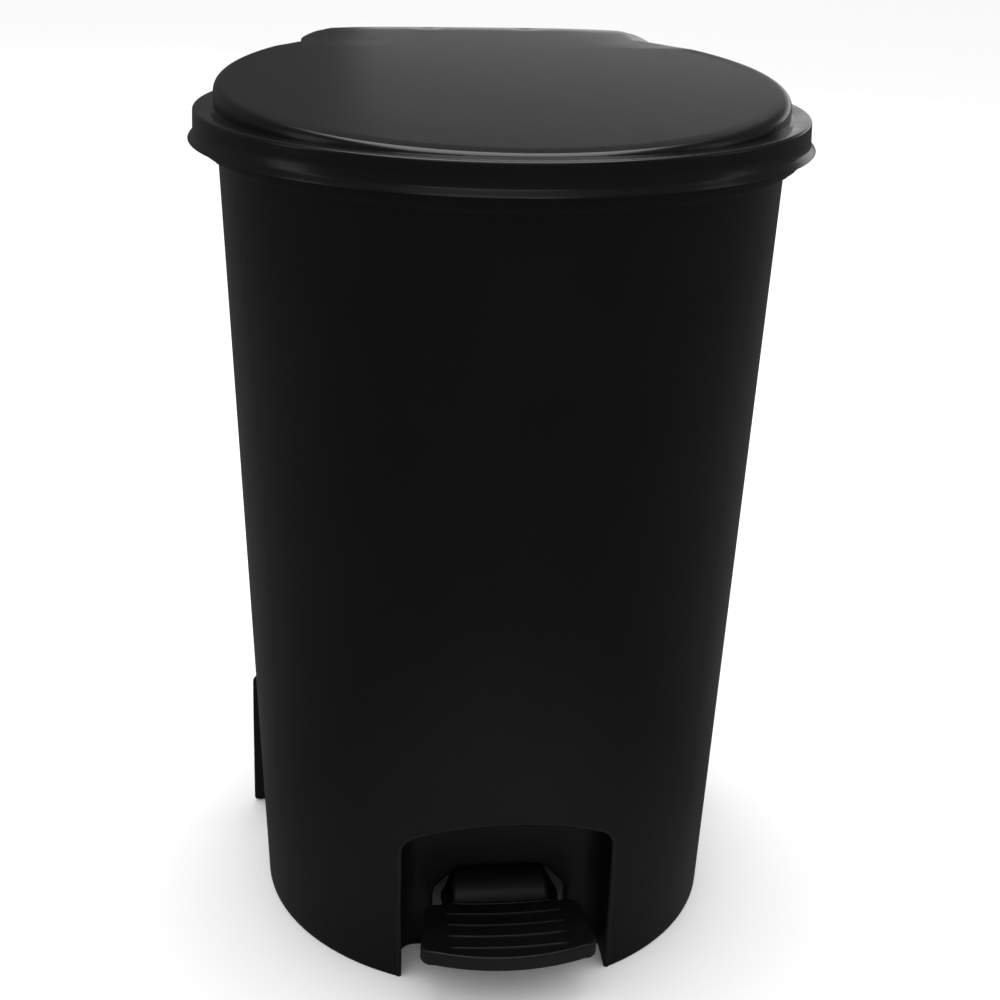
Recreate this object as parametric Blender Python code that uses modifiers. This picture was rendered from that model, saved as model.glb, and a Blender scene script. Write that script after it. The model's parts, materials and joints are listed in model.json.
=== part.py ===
"""A round pedal bin: a tapered body, a hinged lid, and a pedal that lifts the lid through a lever and a rod.

Metres, +Z up, the front faces -Y. The bin stands on z = 0 and its bounding box is centred on the origin.
"""

import math

import bmesh
import bpy
from mathutils import Matrix, Vector

# Driving dimensions. Lengths are measured from the body's own axis, which lies at AXIS_Y.
AXIS_Y = -0.0079
SEGMENTS = 72
GAP = 0.0003
PLAY = 0.0004
MERGE = 0.00001
BEYOND = 0.01

# Body
WALL = 0.0025
BASE_RADIUS = 0.163
TAPER_RADIUS = 0.184
TAPER_HEIGHT = 0.5437
RIM_TOP = 0.5628
RIM_EDGE = 0.0015
COLLAR_RADIUS = 0.195
COLLAR_HEIGHT = 0.0105
FLOOR_TOP = 0.1375
FLOOR_CORNER = 0.006
FLOOR_UNDER = FLOOR_TOP - WALL
FOOT_RIM_DEPTH = 0.009

# Pedal opening, and the pocket behind it
ARCH_HALF_WIDTH = 0.072
ARCH_CROWN = 0.133
ARCH_CORNER = 0.020
ARCH_FRONT_Y = -0.190
ARCH_BACK_Y = -0.100
RECESS_BACK_Y = -0.107
RECESS_DEPTH = 0.075
RECESS_SHEET = 0.002
WINDOW_TOP = 0.063
WINDOW_SHOULDER = 0.045
WINDOW_HALF_TOP = 0.034
WINDOW_HALF_BOTTOM = 0.047

# Lid, in heights above its lip plane
LID_WALL = 0.0022
LID_EDGE = 0.002
LID_AJAR = math.radians(2.18)
LIP_RADIUS = 0.203
LIP_HEIGHT = 0.005
SKIRT_RADIUS = 0.200
FLANGE_HEIGHT = 0.0195
DISC_RADIUS = 0.186
DISC_HEIGHT = 0.0356
DISC_SLOPE = 0.075
ROLL_START_Y = 0.170
ROLL_RADIUS = 0.12
NECK_HALF = 0.1163
BLOCK_HALF = 0.129
BLOCK_FRONT_Y = 0.100
BLOCK_BEHIND_HINGE = 0.006
BLOCK_REAR_CLEAR = 0.012
BLOCK_SHOULDER_DROP = 0.005
BLOCK_STEP = 0.0002

# Lid hinge, and the crank that the push rod turns. The crank's start is its angle below level with the lid at rest.
HINGE_Y = 0.2110
HINGE_Z = 0.5523
HINGE_ABOVE_LIP = 0.005
HINGE_PIN_RADIUS = 0.003
HINGE_PIN_HEAD = 0.0048
HINGE_X = 0.062
HINGE_SCREW_Z = 0.512
HINGE_SCREW_TIP = 0.188
KNUCKLE_RADIUS = 0.006
BRACKET_THICKNESS = 0.010
EAR_THICKNESS = 0.006
EAR_OFFSET = 0.0085
EAR_RADIUS = 0.0065
CRANK_RADIUS = 0.0196
CRANK_START = math.radians(35)
CRANK_PIN_RADIUS = 0.003
CRANK_PIN_HALF = 0.0125
CRANK_EAR_THICKNESS = 0.004

# Pedal: pivot, tread and lever
PIVOT_Y = 0.005
PIVOT_Z = 0.045
AXLE_RADIUS = 0.004
AXLE_HALF = 0.036
TREAD_TOP = 0.044
TREAD_THICKNESS = 0.0105
TREAD_SHEET = 0.0025
TREAD_REAR_Y = -0.1235
TREAD_SIDE_Y = -0.1650
TREAD_FRONT_Y = -0.1885
TREAD_MIDDLE = (TREAD_REAR_Y + TREAD_FRONT_Y) / 2
TREAD_HALF_FRONT = 0.060
TREAD_HALF_REAR = 0.0545
TREAD_CORNER = 0.008
TREAD_REAR_CORNER = 0.006
TREAD_RIBS = 5
TREAD_RIB_PITCH = 0.013
TREAD_RIB_HALF = 0.041
TREAD_RIB_WIDTH = 0.0016
PEDAL_SCREW_X = 0.022
PEDAL_SCREW_Y = -0.150
LEVER_FRONT_TOP = 0.0380
LEVER_SHEET = 0.0025
NOSE_RADIUS = 0.005
NOSE_HALF = 0.0127

# Axle hangers under the floor
HANGER_X = 0.029
HANGER_THICKNESS = 0.004
HANGER_HALF = 0.024
HANGER_FOOT = 0.006
HANGER_TOP = FLOOR_UNDER - GAP
CLIP_RADIUS = 0.0075
FLOOR_SCREWS = [(side * 0.038, PIVOT_Y + along) for side in (-1, 1) for along in (-0.016, 0.016)]

# Push rod. It stands midway between the nearest and farthest places of the crank pin.
ROD_Y = HINGE_Y - 0.5 * CRANK_RADIUS * (1 + math.cos(CRANK_START))
ROD_RADIUS = 0.0025
ROD_FOOT_LOW = PIVOT_Z + NOSE_RADIUS + GAP
ROD_FOOT_HEIGHT = 0.018
ROD_FOOT_HALF = 0.009
ROD_HEAD_LOW = 0.5245
ROD_HEAD_HALF = 0.0078
ROD_SOCKET_FOOT = 0.006
ROD_SOCKET_HEAD = 0.009
SLOT_REACH = 0.0018
SLOT_RADIUS = CRANK_PIN_RADIUS + 0.0007

# Rear guard and rod channel
GUARD_RADIUS = 0.191
GUARD_CENTRE_Y = 0.015
GUARD_FRONT_Y = 0.088
GUARD_HEIGHT = 0.114
GUARD_SCREW_ANGLE = math.radians(35)
GUARD_SCREW_Z = 0.057
GUARD_SCREW_TIP = 0.182
GUARD_SCREW_HEAD = 0.1615
CHANNEL_HALF = 0.022
CHANNEL_REAR_Y = 0.2035
CHANNEL_TOP = 0.520
GUIDE_HEIGHTS = {"lower": 0.170, "upper": 0.490}
GUIDE_HALF_HEIGHT = 0.006
GUIDE_SCREW_REACH = 0.0060
CHANNEL_SCREW_REACH = 0.0034

SCREW_RADIUS = 0.0019
SCREW_HOLE = 0.0023
SCREW_HEAD_RADIUS = 0.0038
SCREW_HEAD_HEIGHT = 0.0022
SCREW_DRIVE_RADIUS = 0.0011
SCREW_DRIVE_DEPTH = 0.0012
SCREW_BOTTOM_GAP = 0.0008

BLACK = (0.010, 0.010, 0.011, 1.0)
STEEL = (0.55, 0.55, 0.56, 1.0)

SIDE_ON = Matrix(((0, 0, 1), (1, 0, 0), (0, 1, 0))).to_4x4()
FRONT_ON = Matrix(((1, 0, 0), (0, 0, -1), (0, 1, 0))).to_4x4()


# ---- Scene helpers ----

def clear_scene():
    for old in list(bpy.data.objects):
        bpy.data.objects.remove(old)


def new_collection(name):
    collection = bpy.data.collections.new(name)
    bpy.context.scene.collection.children.link(collection)
    return collection


def new_empty(name, place, parent=None):
    empty = bpy.data.objects.new(name, None)
    empty.location = place
    empty.parent = parent
    PARTS.objects.link(empty)
    return empty


def new_material(name, colour, roughness, metallic):
    material = bpy.data.materials.new(name)
    material.use_nodes = True
    shader = material.node_tree.nodes["Principled BSDF"]
    shader.inputs["Base Color"].default_value = colour
    shader.inputs["Roughness"].default_value = roughness
    shader.inputs["Metallic"].default_value = metallic
    return material


def finish_part(part, colour=BLACK, roughness=0.35, metallic=0.0):
    """Gives a part its own material and smooth shading with sharp corners."""
    part.data.materials.clear()
    part.data.materials.append(new_material(part.name + "_finish", colour, roughness, metallic))
    part.data.shade_smooth()
    part.data.set_sharp_from_angle(angle=math.radians(35))
    return part


def place(mesh, name, parent, location=(0, 0, 0), cutter=False):
    obj = bpy.data.objects.new(name, mesh)
    obj.parent = parent
    obj.location = location
    (CUTTERS if cutter else PARTS).objects.link(obj)
    if cutter:
        obj.hide_render = True
        obj.display_type = "WIRE"
    return obj


def cut(part, tool, operation="DIFFERENCE", folded=False):
    """Adds a Boolean step. folded is for a loft whose twisted faces graze each other."""
    step = part.modifiers.new(operation.lower() + "_" + tool.name, "BOOLEAN")
    step.operation = operation
    step.solver = "EXACT"
    step.use_self = folded
    step.object = tool


def applied(obj):
    """Turns an object's modifiers into its mesh, so that its points can be moved."""
    bpy.context.view_layer.update()
    shape = obj.evaluated_get(bpy.context.evaluated_depsgraph_get())
    mesh = bpy.data.meshes.new_from_object(shape)
    obj.modifiers.clear()
    obj.data = mesh
    return obj


# ---- Shape helpers ----

def arc(centre, radius, start, end, steps):
    """Points on an arc, angles in degrees, from start to end."""
    points = []
    for step in range(steps + 1):
        angle = math.radians(start + (end - start) * step / steps)
        points.append((centre[0] + radius * math.cos(angle), centre[1] + radius * math.sin(angle)))
    return points


def turned(name, profile, parent, location=(0, 0, 0), cutter=False):
    """A profile of (radius, height) points, turned about Z. It starts and ends on the axis, or closes."""
    mesh = bpy.data.meshes.new(name)
    closed = profile[0][0] > 0
    edges = [(i, i + 1) for i in range(len(profile) - 1)]
    if closed:
        edges.append((len(profile) - 1, 0))
    mesh.from_pydata([(r, 0, z) for r, z in profile], edges, [])
    obj = place(mesh, name, parent, location, cutter)
    screw = obj.modifiers.new("turn", "SCREW")
    screw.angle = 2 * math.pi
    screw.steps = SEGMENTS
    screw.render_steps = SEGMENTS
    screw.use_merge_vertices = True
    screw.merge_threshold = MERGE
    return obj


def flat_plate(outline, thickness):
    """A closed outline in XY, filled, with its thickness centred on Z."""
    curve = bpy.data.curves.new("outline", "CURVE")
    curve.dimensions = "2D"
    curve.fill_mode = "BOTH"
    curve.extrude = thickness / 2
    spline = curve.splines.new("POLY")
    spline.points.add(len(outline) - 1)
    for point, (x, y) in zip(spline.points, outline):
        point.co = (x, y, 0, 1)
    spline.use_cyclic_u = True
    flat = bpy.data.objects.new("outline", curve)
    PARTS.objects.link(flat)
    bpy.context.view_layer.update()
    shape = flat.evaluated_get(bpy.context.evaluated_depsgraph_get())
    mesh = bpy.data.meshes.new_from_object(shape)
    bpy.data.objects.remove(flat)
    build = bmesh.new()
    build.from_mesh(mesh)
    bmesh.ops.remove_doubles(build, verts=build.verts, dist=MERGE)
    bmesh.ops.recalc_face_normals(build, faces=build.faces)
    build.to_mesh(mesh)
    build.free()
    return mesh


def side_plate(outline, thickness):
    """An outline of (y, z) points with its thickness along X."""
    mesh = flat_plate(outline, thickness)
    mesh.transform(SIDE_ON)
    return mesh


def front_plate(outline, thickness):
    """An outline of (x, z) points with its thickness along Y."""
    mesh = flat_plate(outline, thickness)
    mesh.transform(FRONT_ON)
    return mesh


def block(low, high):
    """A box between two corners."""
    build = bmesh.new()
    bmesh.ops.create_cube(build, size=1)
    middle = [(a + b) / 2 for a, b in zip(low, high)]
    for vert in build.verts:
        vert.co = [m + c * (b - a) for m, c, a, b in zip(middle, vert.co, low, high)]
    mesh = bpy.data.meshes.new("block")
    build.to_mesh(mesh)
    build.free()
    return mesh


def rod(radius, start, end, sides=24):
    """A round bar from start to end."""
    start = Vector(start)
    along = Vector(end) - start
    build = bmesh.new()
    bmesh.ops.create_cone(build, cap_ends=True, segments=sides, radius1=radius, radius2=radius, depth=along.length)
    turn = Vector((0, 0, 1)).rotation_difference(along.normalized()).to_matrix().to_4x4()
    bmesh.ops.transform(build, matrix=Matrix.Translation(start + along / 2) @ turn, verts=build.verts)
    mesh = bpy.data.meshes.new("rod")
    build.to_mesh(mesh)
    build.free()
    return mesh


def screw_part(name, parent, tip, direction, length):
    """A pan-head screw. direction points from the tip to the head, and length is the shank's."""
    tip = Vector(tip)
    direction = Vector(direction).normalized()
    shoulder = length * direction
    crown = shoulder + SCREW_HEAD_HEIGHT * direction
    into_head = shoulder + 0.25 * SCREW_HEAD_HEIGHT * direction
    screw = place(rod(SCREW_RADIUS, (0, 0, 0), into_head, 12), name, parent, tip)
    head = place(rod(SCREW_HEAD_RADIUS, shoulder, crown, 20), name + "_head", parent, tip, True)
    drive = rod(SCREW_DRIVE_RADIUS, crown - SCREW_DRIVE_DEPTH * direction, crown + direction * BEYOND, 6)
    cut(screw, head, "UNION")
    cut(screw, place(drive, name + "_drive", parent, tip, True))
    return finish_part(screw, STEEL, 0.3, 1.0)


def drill(part, name, parent, radius, start, end):
    """Cuts a round hole from start to end, in the parent's frame."""
    cut(part, place(rod(radius, start, end, 24), name, parent, cutter=True))


# ---- Body ----

def wall_radius(height):
    return BASE_RADIUS + (TAPER_RADIUS - BASE_RADIUS) * height / TAPER_HEIGHT


def wall_cone(name, parent, gap):
    """A solid cone a little larger than the outside of the wall."""
    low, high = -BEYOND, RIM_TOP + 2 * BEYOND
    profile = [(0, high), (wall_radius(high) + gap, high), (wall_radius(low) + gap, low), (0, low)]
    return turned(name, profile, parent, cutter=True)


def arch_outline(inset, foot):
    """The pedal opening's outline as (x, z), drawn smaller by inset, with its straight sides down to foot."""
    half = ARCH_HALF_WIDTH - inset
    crown = ARCH_CROWN - inset
    corner = ARCH_CORNER - inset
    corner_x = half - corner
    corner_z = math.sqrt((crown - corner) ** 2 - corner_x ** 2)
    lean = math.degrees(math.atan2(corner_z, corner_x))
    right = [(half, foot)] + arc((corner_x, corner_z), corner, 0, lean, 5)
    top = arc((0, 0), crown, lean, 180 - lean, 12)[1:-1]
    left = [(-x, z) for x, z in reversed(right)]
    return right + top + left


def make_body(bin_axis):
    under_rim = RIM_TOP - WALL
    collar_foot = RIM_TOP - COLLAR_HEIGHT
    floor_radius = wall_radius(FLOOR_TOP) - WALL
    inner = [
        (0, FLOOR_TOP),
        (floor_radius - FLOOR_CORNER, FLOOR_TOP),
        (floor_radius, FLOOR_TOP + FLOOR_CORNER),
        (wall_radius(under_rim) - WALL, under_rim),
    ]
    rim = [
        (wall_radius(RIM_TOP) - 0.001, RIM_TOP),
        (COLLAR_RADIUS - RIM_EDGE, RIM_TOP),
        (COLLAR_RADIUS, RIM_TOP - RIM_EDGE),
        (COLLAR_RADIUS, collar_foot),
        (COLLAR_RADIUS - WALL, collar_foot),
        (COLLAR_RADIUS - WALL, under_rim),
        (wall_radius(under_rim), under_rim),
    ]
    outer = [
        (BASE_RADIUS, 0),
        (BASE_RADIUS - FOOT_RIM_DEPTH, 0),
        (BASE_RADIUS - FOOT_RIM_DEPTH, WALL),
        (BASE_RADIUS - WALL, WALL),
        (wall_radius(FLOOR_UNDER) - WALL, FLOOR_UNDER),
        (0, FLOOR_UNDER),
    ]
    body = turned("body_shell", inner + rim + outer, bin_axis)
    arch = front_plate(arch_outline(0, -BEYOND), ARCH_BACK_Y - ARCH_FRONT_Y)
    cut(body, place(arch, "arch_cutter", bin_axis, (0, (ARCH_FRONT_Y + ARCH_BACK_Y) / 2, 0), True))
    lever_slot = block((-0.020, 0.150, 0.024), (0.020, 0.180, 0.090))
    cut(body, place(lever_slot, "lever_slot", bin_axis, cutter=True))
    rim_notch = block((-CHANNEL_HALF, 0.1853, 0.53), (CHANNEL_HALF, 0.21, 0.58))
    cut(body, place(rim_notch, "rim_notch", bin_axis, cutter=True))
    for x, y in FLOOR_SCREWS:
        drill(body, "floor_hole", bin_axis, SCREW_HOLE, (x, y, FLOOR_UNDER - BEYOND), (x, y, FLOOR_TOP + BEYOND))
    for side in (-1, 1):
        x = side * HINGE_X
        drill(body, "hinge_screw_hole", bin_axis, SCREW_HOLE, (x, 0.15, HINGE_SCREW_Z), (x, 0.19, HINGE_SCREW_Z))
        drill(body, "guard_screw_hole", bin_axis, SCREW_HOLE, guard_point(side, 0.150), guard_point(side, 0.175))
    for height in GUIDE_HEIGHTS.values():
        drill(body, "guide_screw_hole", bin_axis, SCREW_HOLE, (0, 0.15, height), (0, 0.20, height))
    return finish_part(body, BLACK, 0.3)


def make_recess(bin_axis):
    """The pocket behind the arch, with the window for the lever."""
    middle = (0, RECESS_BACK_Y - RECESS_DEPTH / 2, 0)
    ahead = (0, middle[1] - RECESS_SHEET, 0)
    recess = place(front_plate(arch_outline(PLAY, GAP), RECESS_DEPTH), "pedal_recess", bin_axis, middle)
    hollow = front_plate(arch_outline(PLAY + RECESS_SHEET, -BEYOND), RECESS_DEPTH)
    cut(recess, place(hollow, "recess_hollow", bin_axis, ahead, True))
    window = [
        (-WINDOW_HALF_BOTTOM, -BEYOND),
        (WINDOW_HALF_BOTTOM, -BEYOND),
        (WINDOW_HALF_BOTTOM, WINDOW_SHOULDER),
        (WINDOW_HALF_TOP, WINDOW_TOP),
        (-WINDOW_HALF_TOP, WINDOW_TOP),
        (-WINDOW_HALF_BOTTOM, WINDOW_SHOULDER),
    ]
    cut(recess, place(front_plate(window, 2 * BEYOND), "window_cutter", bin_axis, (0, RECESS_BACK_Y, 0), True))
    cut(recess, wall_cone("recess_trim", bin_axis, 0), "INTERSECT")
    return finish_part(recess, BLACK, 0.4)


# ---- Rear guard, channel and guides ----

def guard_point(side, distance):
    """A point on the line of a guard screw, at a distance from the body's axis."""
    across = math.cos(GUARD_SCREW_ANGLE)
    back = math.sin(GUARD_SCREW_ANGLE)
    return (side * distance * across, distance * back, GUARD_SCREW_Z)


def guard_disc(name, bin_axis, radius, low, high, front):
    disc = place(rod(radius, (0, 0, low), (0, 0, high), SEGMENTS), name, bin_axis, (0, GUARD_CENTRE_Y, 0), True)
    ahead = place(block((-0.3, -0.3, -0.1), (0.3, front, 0.3)), name + "_front", bin_axis, cutter=True)
    cut(disc, ahead)
    return disc


def make_rear_guard(bin_axis):
    """The wide foot behind the body: an arc-shaped wall with a roof and two end walls."""
    guard = guard_disc("rear_guard", bin_axis, GUARD_RADIUS, 0, GUARD_HEIGHT, GUARD_FRONT_Y)
    CUTTERS.objects.unlink(guard)
    PARTS.objects.link(guard)
    guard.hide_render = False
    guard.display_type = "TEXTURED"
    hollow = guard_disc("guard_hollow", bin_axis, GUARD_RADIUS - WALL, -BEYOND, GUARD_HEIGHT - WALL,
                        GUARD_FRONT_Y + WALL)
    cut(guard, hollow)
    for side in (-1, 1):
        boss = rod(2 * WALL, guard_point(side, 0.150), guard_point(side, 0.198))
        cut(guard, place(boss, "guard_boss", bin_axis, cutter=True), "UNION")
    cut(guard, wall_cone("guard_trim", bin_axis, GAP))
    for side in (-1, 1):
        drill(guard, "guard_boss_hole", bin_axis, SCREW_HOLE, guard_point(side, 0.150), guard_point(side, 0.188))
    rod_hole = block((-0.012, ROD_Y - 0.0105, 0.10), (0.012, ROD_Y + 0.0045, 0.13))
    cut(guard, place(rod_hole, "guard_rod_hole", bin_axis, cutter=True))
    return finish_part(guard, BLACK, 0.4)


def make_guard_screws(bin_axis):
    for side, word in ((-1, "left"), (1, "right")):
        tip = Vector(guard_point(side, GUARD_SCREW_TIP))
        head = Vector(guard_point(side, GUARD_SCREW_HEAD))
        screw_part("guard_screw_" + word, bin_axis, tip, head - tip, (head - tip).length)


def make_channel(bin_axis):
    """The cover over the push rod, up the back of the body."""
    low = GUARD_HEIGHT + GAP
    channel = place(block((-CHANNEL_HALF, 0.15, low), (CHANNEL_HALF, CHANNEL_REAR_Y, CHANNEL_TOP)),
                    "rod_channel", bin_axis)
    hollow = block((-CHANNEL_HALF + WALL, 0.14, low - BEYOND),
                   (CHANNEL_HALF - WALL, CHANNEL_REAR_Y - WALL, CHANNEL_TOP + BEYOND))
    cut(channel, place(hollow, "channel_hollow", bin_axis, cutter=True))
    cut(channel, wall_cone("channel_trim", bin_axis, GAP))
    for height in GUIDE_HEIGHTS.values():
        drill(channel, "channel_screw_hole", bin_axis, SCREW_HOLE, (0, CHANNEL_REAR_Y - BEYOND, height),
              (0, CHANNEL_REAR_Y + BEYOND, height))
    return finish_part(channel, BLACK, 0.4)


def make_guides(bin_axis):
    """Two blocks that hold the push rod upright and carry the channel."""
    half = CHANNEL_HALF - WALL - GAP
    rear = CHANNEL_REAR_Y - WALL - GAP
    for word, height in GUIDE_HEIGHTS.items():
        low = height - GUIDE_HALF_HEIGHT
        high = height + GUIDE_HALF_HEIGHT
        guide = place(block((-half, 0.15, low), (half, rear, high)), "rod_guide_" + word, bin_axis)
        cut(guide, wall_cone("guide_trim_" + word, bin_axis, GAP))
        drill(guide, "guide_bore", bin_axis, ROD_RADIUS + PLAY, (0, ROD_Y, low - BEYOND), (0, ROD_Y, high + BEYOND))
        front = wall_radius(height) + GUIDE_SCREW_REACH
        back = rear - CHANNEL_SCREW_REACH
        drill(guide, "guide_front_hole", bin_axis, SCREW_HOLE, (0, 0.15, height),
              (0, front + SCREW_BOTTOM_GAP, height))
        drill(guide, "guide_rear_hole", bin_axis, SCREW_HOLE, (0, rear + BEYOND, height),
              (0, back - SCREW_BOTTOM_GAP, height))
        finish_part(guide, BLACK, 0.45)
        screw_part("guide_screw_" + word, bin_axis, (0, front, height), (0, -1, 0),
                   GUIDE_SCREW_REACH + WALL + 2 * GAP)
        screw_part("channel_screw_" + word, bin_axis, (0, back, height), (0, 1, 0),
                   CHANNEL_SCREW_REACH + WALL + 2 * GAP)


# ---- Hinge brackets and axle hangers ----

def make_hinge_brackets(bin_axis):
    """Two gussets on the back of the body that hold the hinge pins."""
    outline = arc((HINGE_Y, HINGE_Z), KNUCKLE_RADIUS, 150, -60, 10)
    outline += [(0.200, HINGE_SCREW_Z), (0.190, 0.496), (0.15, 0.492), (0.15, 0.5385), (0.186, 0.5425)]
    for side, word in ((-1, "left"), (1, "right")):
        x = side * HINGE_X
        pin_place = (x, HINGE_Y, HINGE_Z)
        bracket = place(side_plate(outline, BRACKET_THICKNESS), "hinge_bracket_" + word, bin_axis, (x, 0, 0))
        cut(bracket, wall_cone("bracket_trim_" + word, bin_axis, GAP))
        drill(bracket, "bracket_bore", bin_axis, HINGE_PIN_RADIUS + PLAY, (x - BEYOND, HINGE_Y, HINGE_Z),
              (x + BEYOND, HINGE_Y, HINGE_Z))
        drill(bracket, "bracket_screw_bore", bin_axis, SCREW_HOLE, (x, 0.15, HINGE_SCREW_Z),
              (x, HINGE_SCREW_TIP + 0.001, HINGE_SCREW_Z))
        finish_part(bracket, BLACK, 0.4)
        screw_part("hinge_screw_" + word, bin_axis, (x, HINGE_SCREW_TIP, HINGE_SCREW_Z), (0, -1, 0), 0.0216)
        outer = EAR_OFFSET + EAR_THICKNESS / 2
        pin = place(rod(HINGE_PIN_RADIUS, (-side * (outer + 0.002), 0, 0), (side * (outer + 0.003), 0, 0), 32),
                    "hinge_pin_" + word, bin_axis, pin_place)
        head = place(rod(HINGE_PIN_HEAD, (side * (outer + 0.0025), 0, 0), (side * (outer + 0.0045), 0, 0), 32),
                     "pin_head_" + word, bin_axis, pin_place, True)
        cut(pin, head, "UNION")
        finish_part(pin, STEEL, 0.3, 1.0)


def make_hanger(bin_axis, side, word):
    """One hanger: a plate down to the axle, with a foot that screws to the floor."""
    outline = arc((PIVOT_Y, PIVOT_Z), 0.009, 190, 350, 10)
    outline += [(PIVOT_Y + HANGER_HALF, HANGER_TOP - 2 * HANGER_FOOT), (PIVOT_Y + HANGER_HALF, HANGER_TOP)]
    outline += [(PIVOT_Y - HANGER_HALF, HANGER_TOP), (PIVOT_Y - HANGER_HALF, HANGER_TOP - 2 * HANGER_FOOT)]
    hanger = place(side_plate(outline, HANGER_THICKNESS), "axle_bracket_" + word, bin_axis, (side * HANGER_X, 0, 0))
    reach = sorted((side * (HANGER_X - 0.001), side * 0.047))
    foot = block((reach[0], PIVOT_Y - HANGER_HALF, HANGER_TOP - HANGER_FOOT),
                 (reach[1], PIVOT_Y + HANGER_HALF, HANGER_TOP))
    cut(hanger, place(foot, "hanger_foot_" + word, bin_axis, cutter=True), "UNION")
    bore = sorted((side * (HANGER_X - BEYOND), side * (HANGER_X + BEYOND)))
    drill(hanger, "hanger_bore", bin_axis, AXLE_RADIUS + PLAY, (bore[0], PIVOT_Y, PIVOT_Z),
          (bore[1], PIVOT_Y, PIVOT_Z))
    for x, y in FLOOR_SCREWS:
        if x * side > 0:
            drill(hanger, "hanger_screw_hole", bin_axis, SCREW_HOLE, (x, y, HANGER_TOP - BEYOND),
                  (x, y, HANGER_TOP + BEYOND))
    return finish_part(hanger, BLACK, 0.45)


def make_axle_clip(bin_axis, side, word):
    inner = HANGER_X + HANGER_THICKNESS / 2 + 0.0015
    clip = place(rod(CLIP_RADIUS, (side * inner, 0, 0), (side * (inner + 0.0012), 0, 0)), "axle_clip_" + word,
                 bin_axis, (0, PIVOT_Y, PIVOT_Z))
    drill(clip, "clip_bore", bin_axis, AXLE_RADIUS + GAP, (side * (inner - BEYOND), PIVOT_Y, PIVOT_Z),
          (side * (inner + BEYOND), PIVOT_Y, PIVOT_Z))
    return finish_part(clip, STEEL, 0.3, 1.0)


def make_axle_brackets(bin_axis):
    """Two hangers under the floor, with the axle, its clips and the screws through the floor."""
    for side, word in ((-1, "left"), (1, "right")):
        make_hanger(bin_axis, side, word)
        make_axle_clip(bin_axis, side, word)
    axle = place(rod(AXLE_RADIUS, (-AXLE_HALF, 0, 0), (AXLE_HALF, 0, 0), 32), "pedal_axle", bin_axis,
                 (0, PIVOT_Y, PIVOT_Z))
    finish_part(axle, STEEL, 0.3, 1.0)
    bite = HANGER_FOOT - 0.0005
    for number, (x, y) in enumerate(FLOOR_SCREWS):
        screw_part("floor_screw_%d" % (number + 1), bin_axis, (x, y, HANGER_TOP - bite), (0, 0, 1),
                   FLOOR_TOP - HANGER_TOP + bite + GAP)


# ---- Pedal ----

def tread_front(x):
    """The bowed front edge: an arc through the corners and the middle."""
    sag = TREAD_SIDE_Y - 0.010 - TREAD_FRONT_Y
    radius = (TREAD_HALF_FRONT ** 2 + sag ** 2) / (2 * sag)
    return TREAD_FRONT_Y + radius - math.sqrt(radius ** 2 - x ** 2)


def tread_outline():
    """The front arc, then the right front and rear corners and their mirror images."""
    front_half = TREAD_HALF_FRONT - TREAD_CORNER
    front = [-front_half + 2 * front_half * i / 16 for i in range(17)]
    outline = [(x, tread_front(x)) for x in front]
    right = arc((front_half, tread_front(front_half) + TREAD_CORNER), TREAD_CORNER, -62, 0, 4)
    rear = (TREAD_HALF_REAR - TREAD_REAR_CORNER, TREAD_REAR_Y - TREAD_REAR_CORNER)
    right += arc(rear, TREAD_REAR_CORNER, 4, 90, 4)
    return outline + right + [(-x, y) for x, y in reversed(right)]


def inset_tread(outline, sheet):
    """The tread's outline drawn smaller by the sheet, about its middle."""
    across = 1 - sheet / TREAD_HALF_FRONT
    along = 1 - 2 * sheet / (TREAD_REAR_Y - TREAD_FRONT_Y)
    return [(x * across, TREAD_MIDDLE + (y - TREAD_MIDDLE) * along) for x, y in outline]


def tread_rib(number):
    """One raised rib across the tread, bowed like the front edge but less."""
    ahead = TREAD_RIB_PITCH * number + 0.008
    line = [-TREAD_RIB_HALF + TREAD_RIB_HALF * i / 4 for i in range(9)]
    near = [(x, TREAD_FRONT_Y + ahead + 0.55 * (tread_front(x) - TREAD_FRONT_Y)) for x in line]
    far = [(x, y + TREAD_RIB_WIDTH) for x, y in reversed(near)]
    return flat_plate(near + far, TREAD_SHEET)


def make_tread(pedal_pivot):
    outline = tread_outline()
    to_pivot = Vector((0, -PIVOT_Y, TREAD_TOP - TREAD_THICKNESS / 2 - PIVOT_Z))
    tread = place(flat_plate(outline, TREAD_THICKNESS), "pedal_plate", pedal_pivot, to_pivot)
    hollow = flat_plate(inset_tread(outline, TREAD_SHEET), TREAD_THICKNESS)
    cut(tread, place(hollow, "tread_hollow", pedal_pivot, to_pivot - Vector((0, 0, TREAD_SHEET)), True))
    neck = block((-0.0362, TREAD_REAR_Y - 0.006 - PIVOT_Y, TREAD_TOP - 0.03 - PIVOT_Z),
                 (0.0362, TREAD_REAR_Y + 0.006 - PIVOT_Y, TREAD_TOP - TREAD_SHEET - PIVOT_Z))
    cut(tread, place(neck, "tread_neck_notch", pedal_pivot, cutter=True))
    for number in range(TREAD_RIBS):
        rib = place(tread_rib(number), "tread_rib_%d" % number, pedal_pivot, (0, -PIVOT_Y, TREAD_TOP - PIVOT_Z), True)
        cut(tread, rib, "UNION")
    y = PEDAL_SCREW_Y - PIVOT_Y
    for side in (-1, 1):
        x = side * PEDAL_SCREW_X
        post = rod(0.0042, (x, y, TREAD_TOP - 0.0005 - PIVOT_Z), (x, y, LEVER_FRONT_TOP + GAP - PIVOT_Z))
        cut(tread, place(post, "tread_post", pedal_pivot, cutter=True), "UNION")
        drill(tread, "tread_post_hole", pedal_pivot, SCREW_HOLE, (x, y, LEVER_FRONT_TOP - BEYOND - PIVOT_Z),
              (x, y, TREAD_TOP - 0.0012 - PIVOT_Z))
    return finish_part(tread, BLACK, 0.35)


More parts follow.
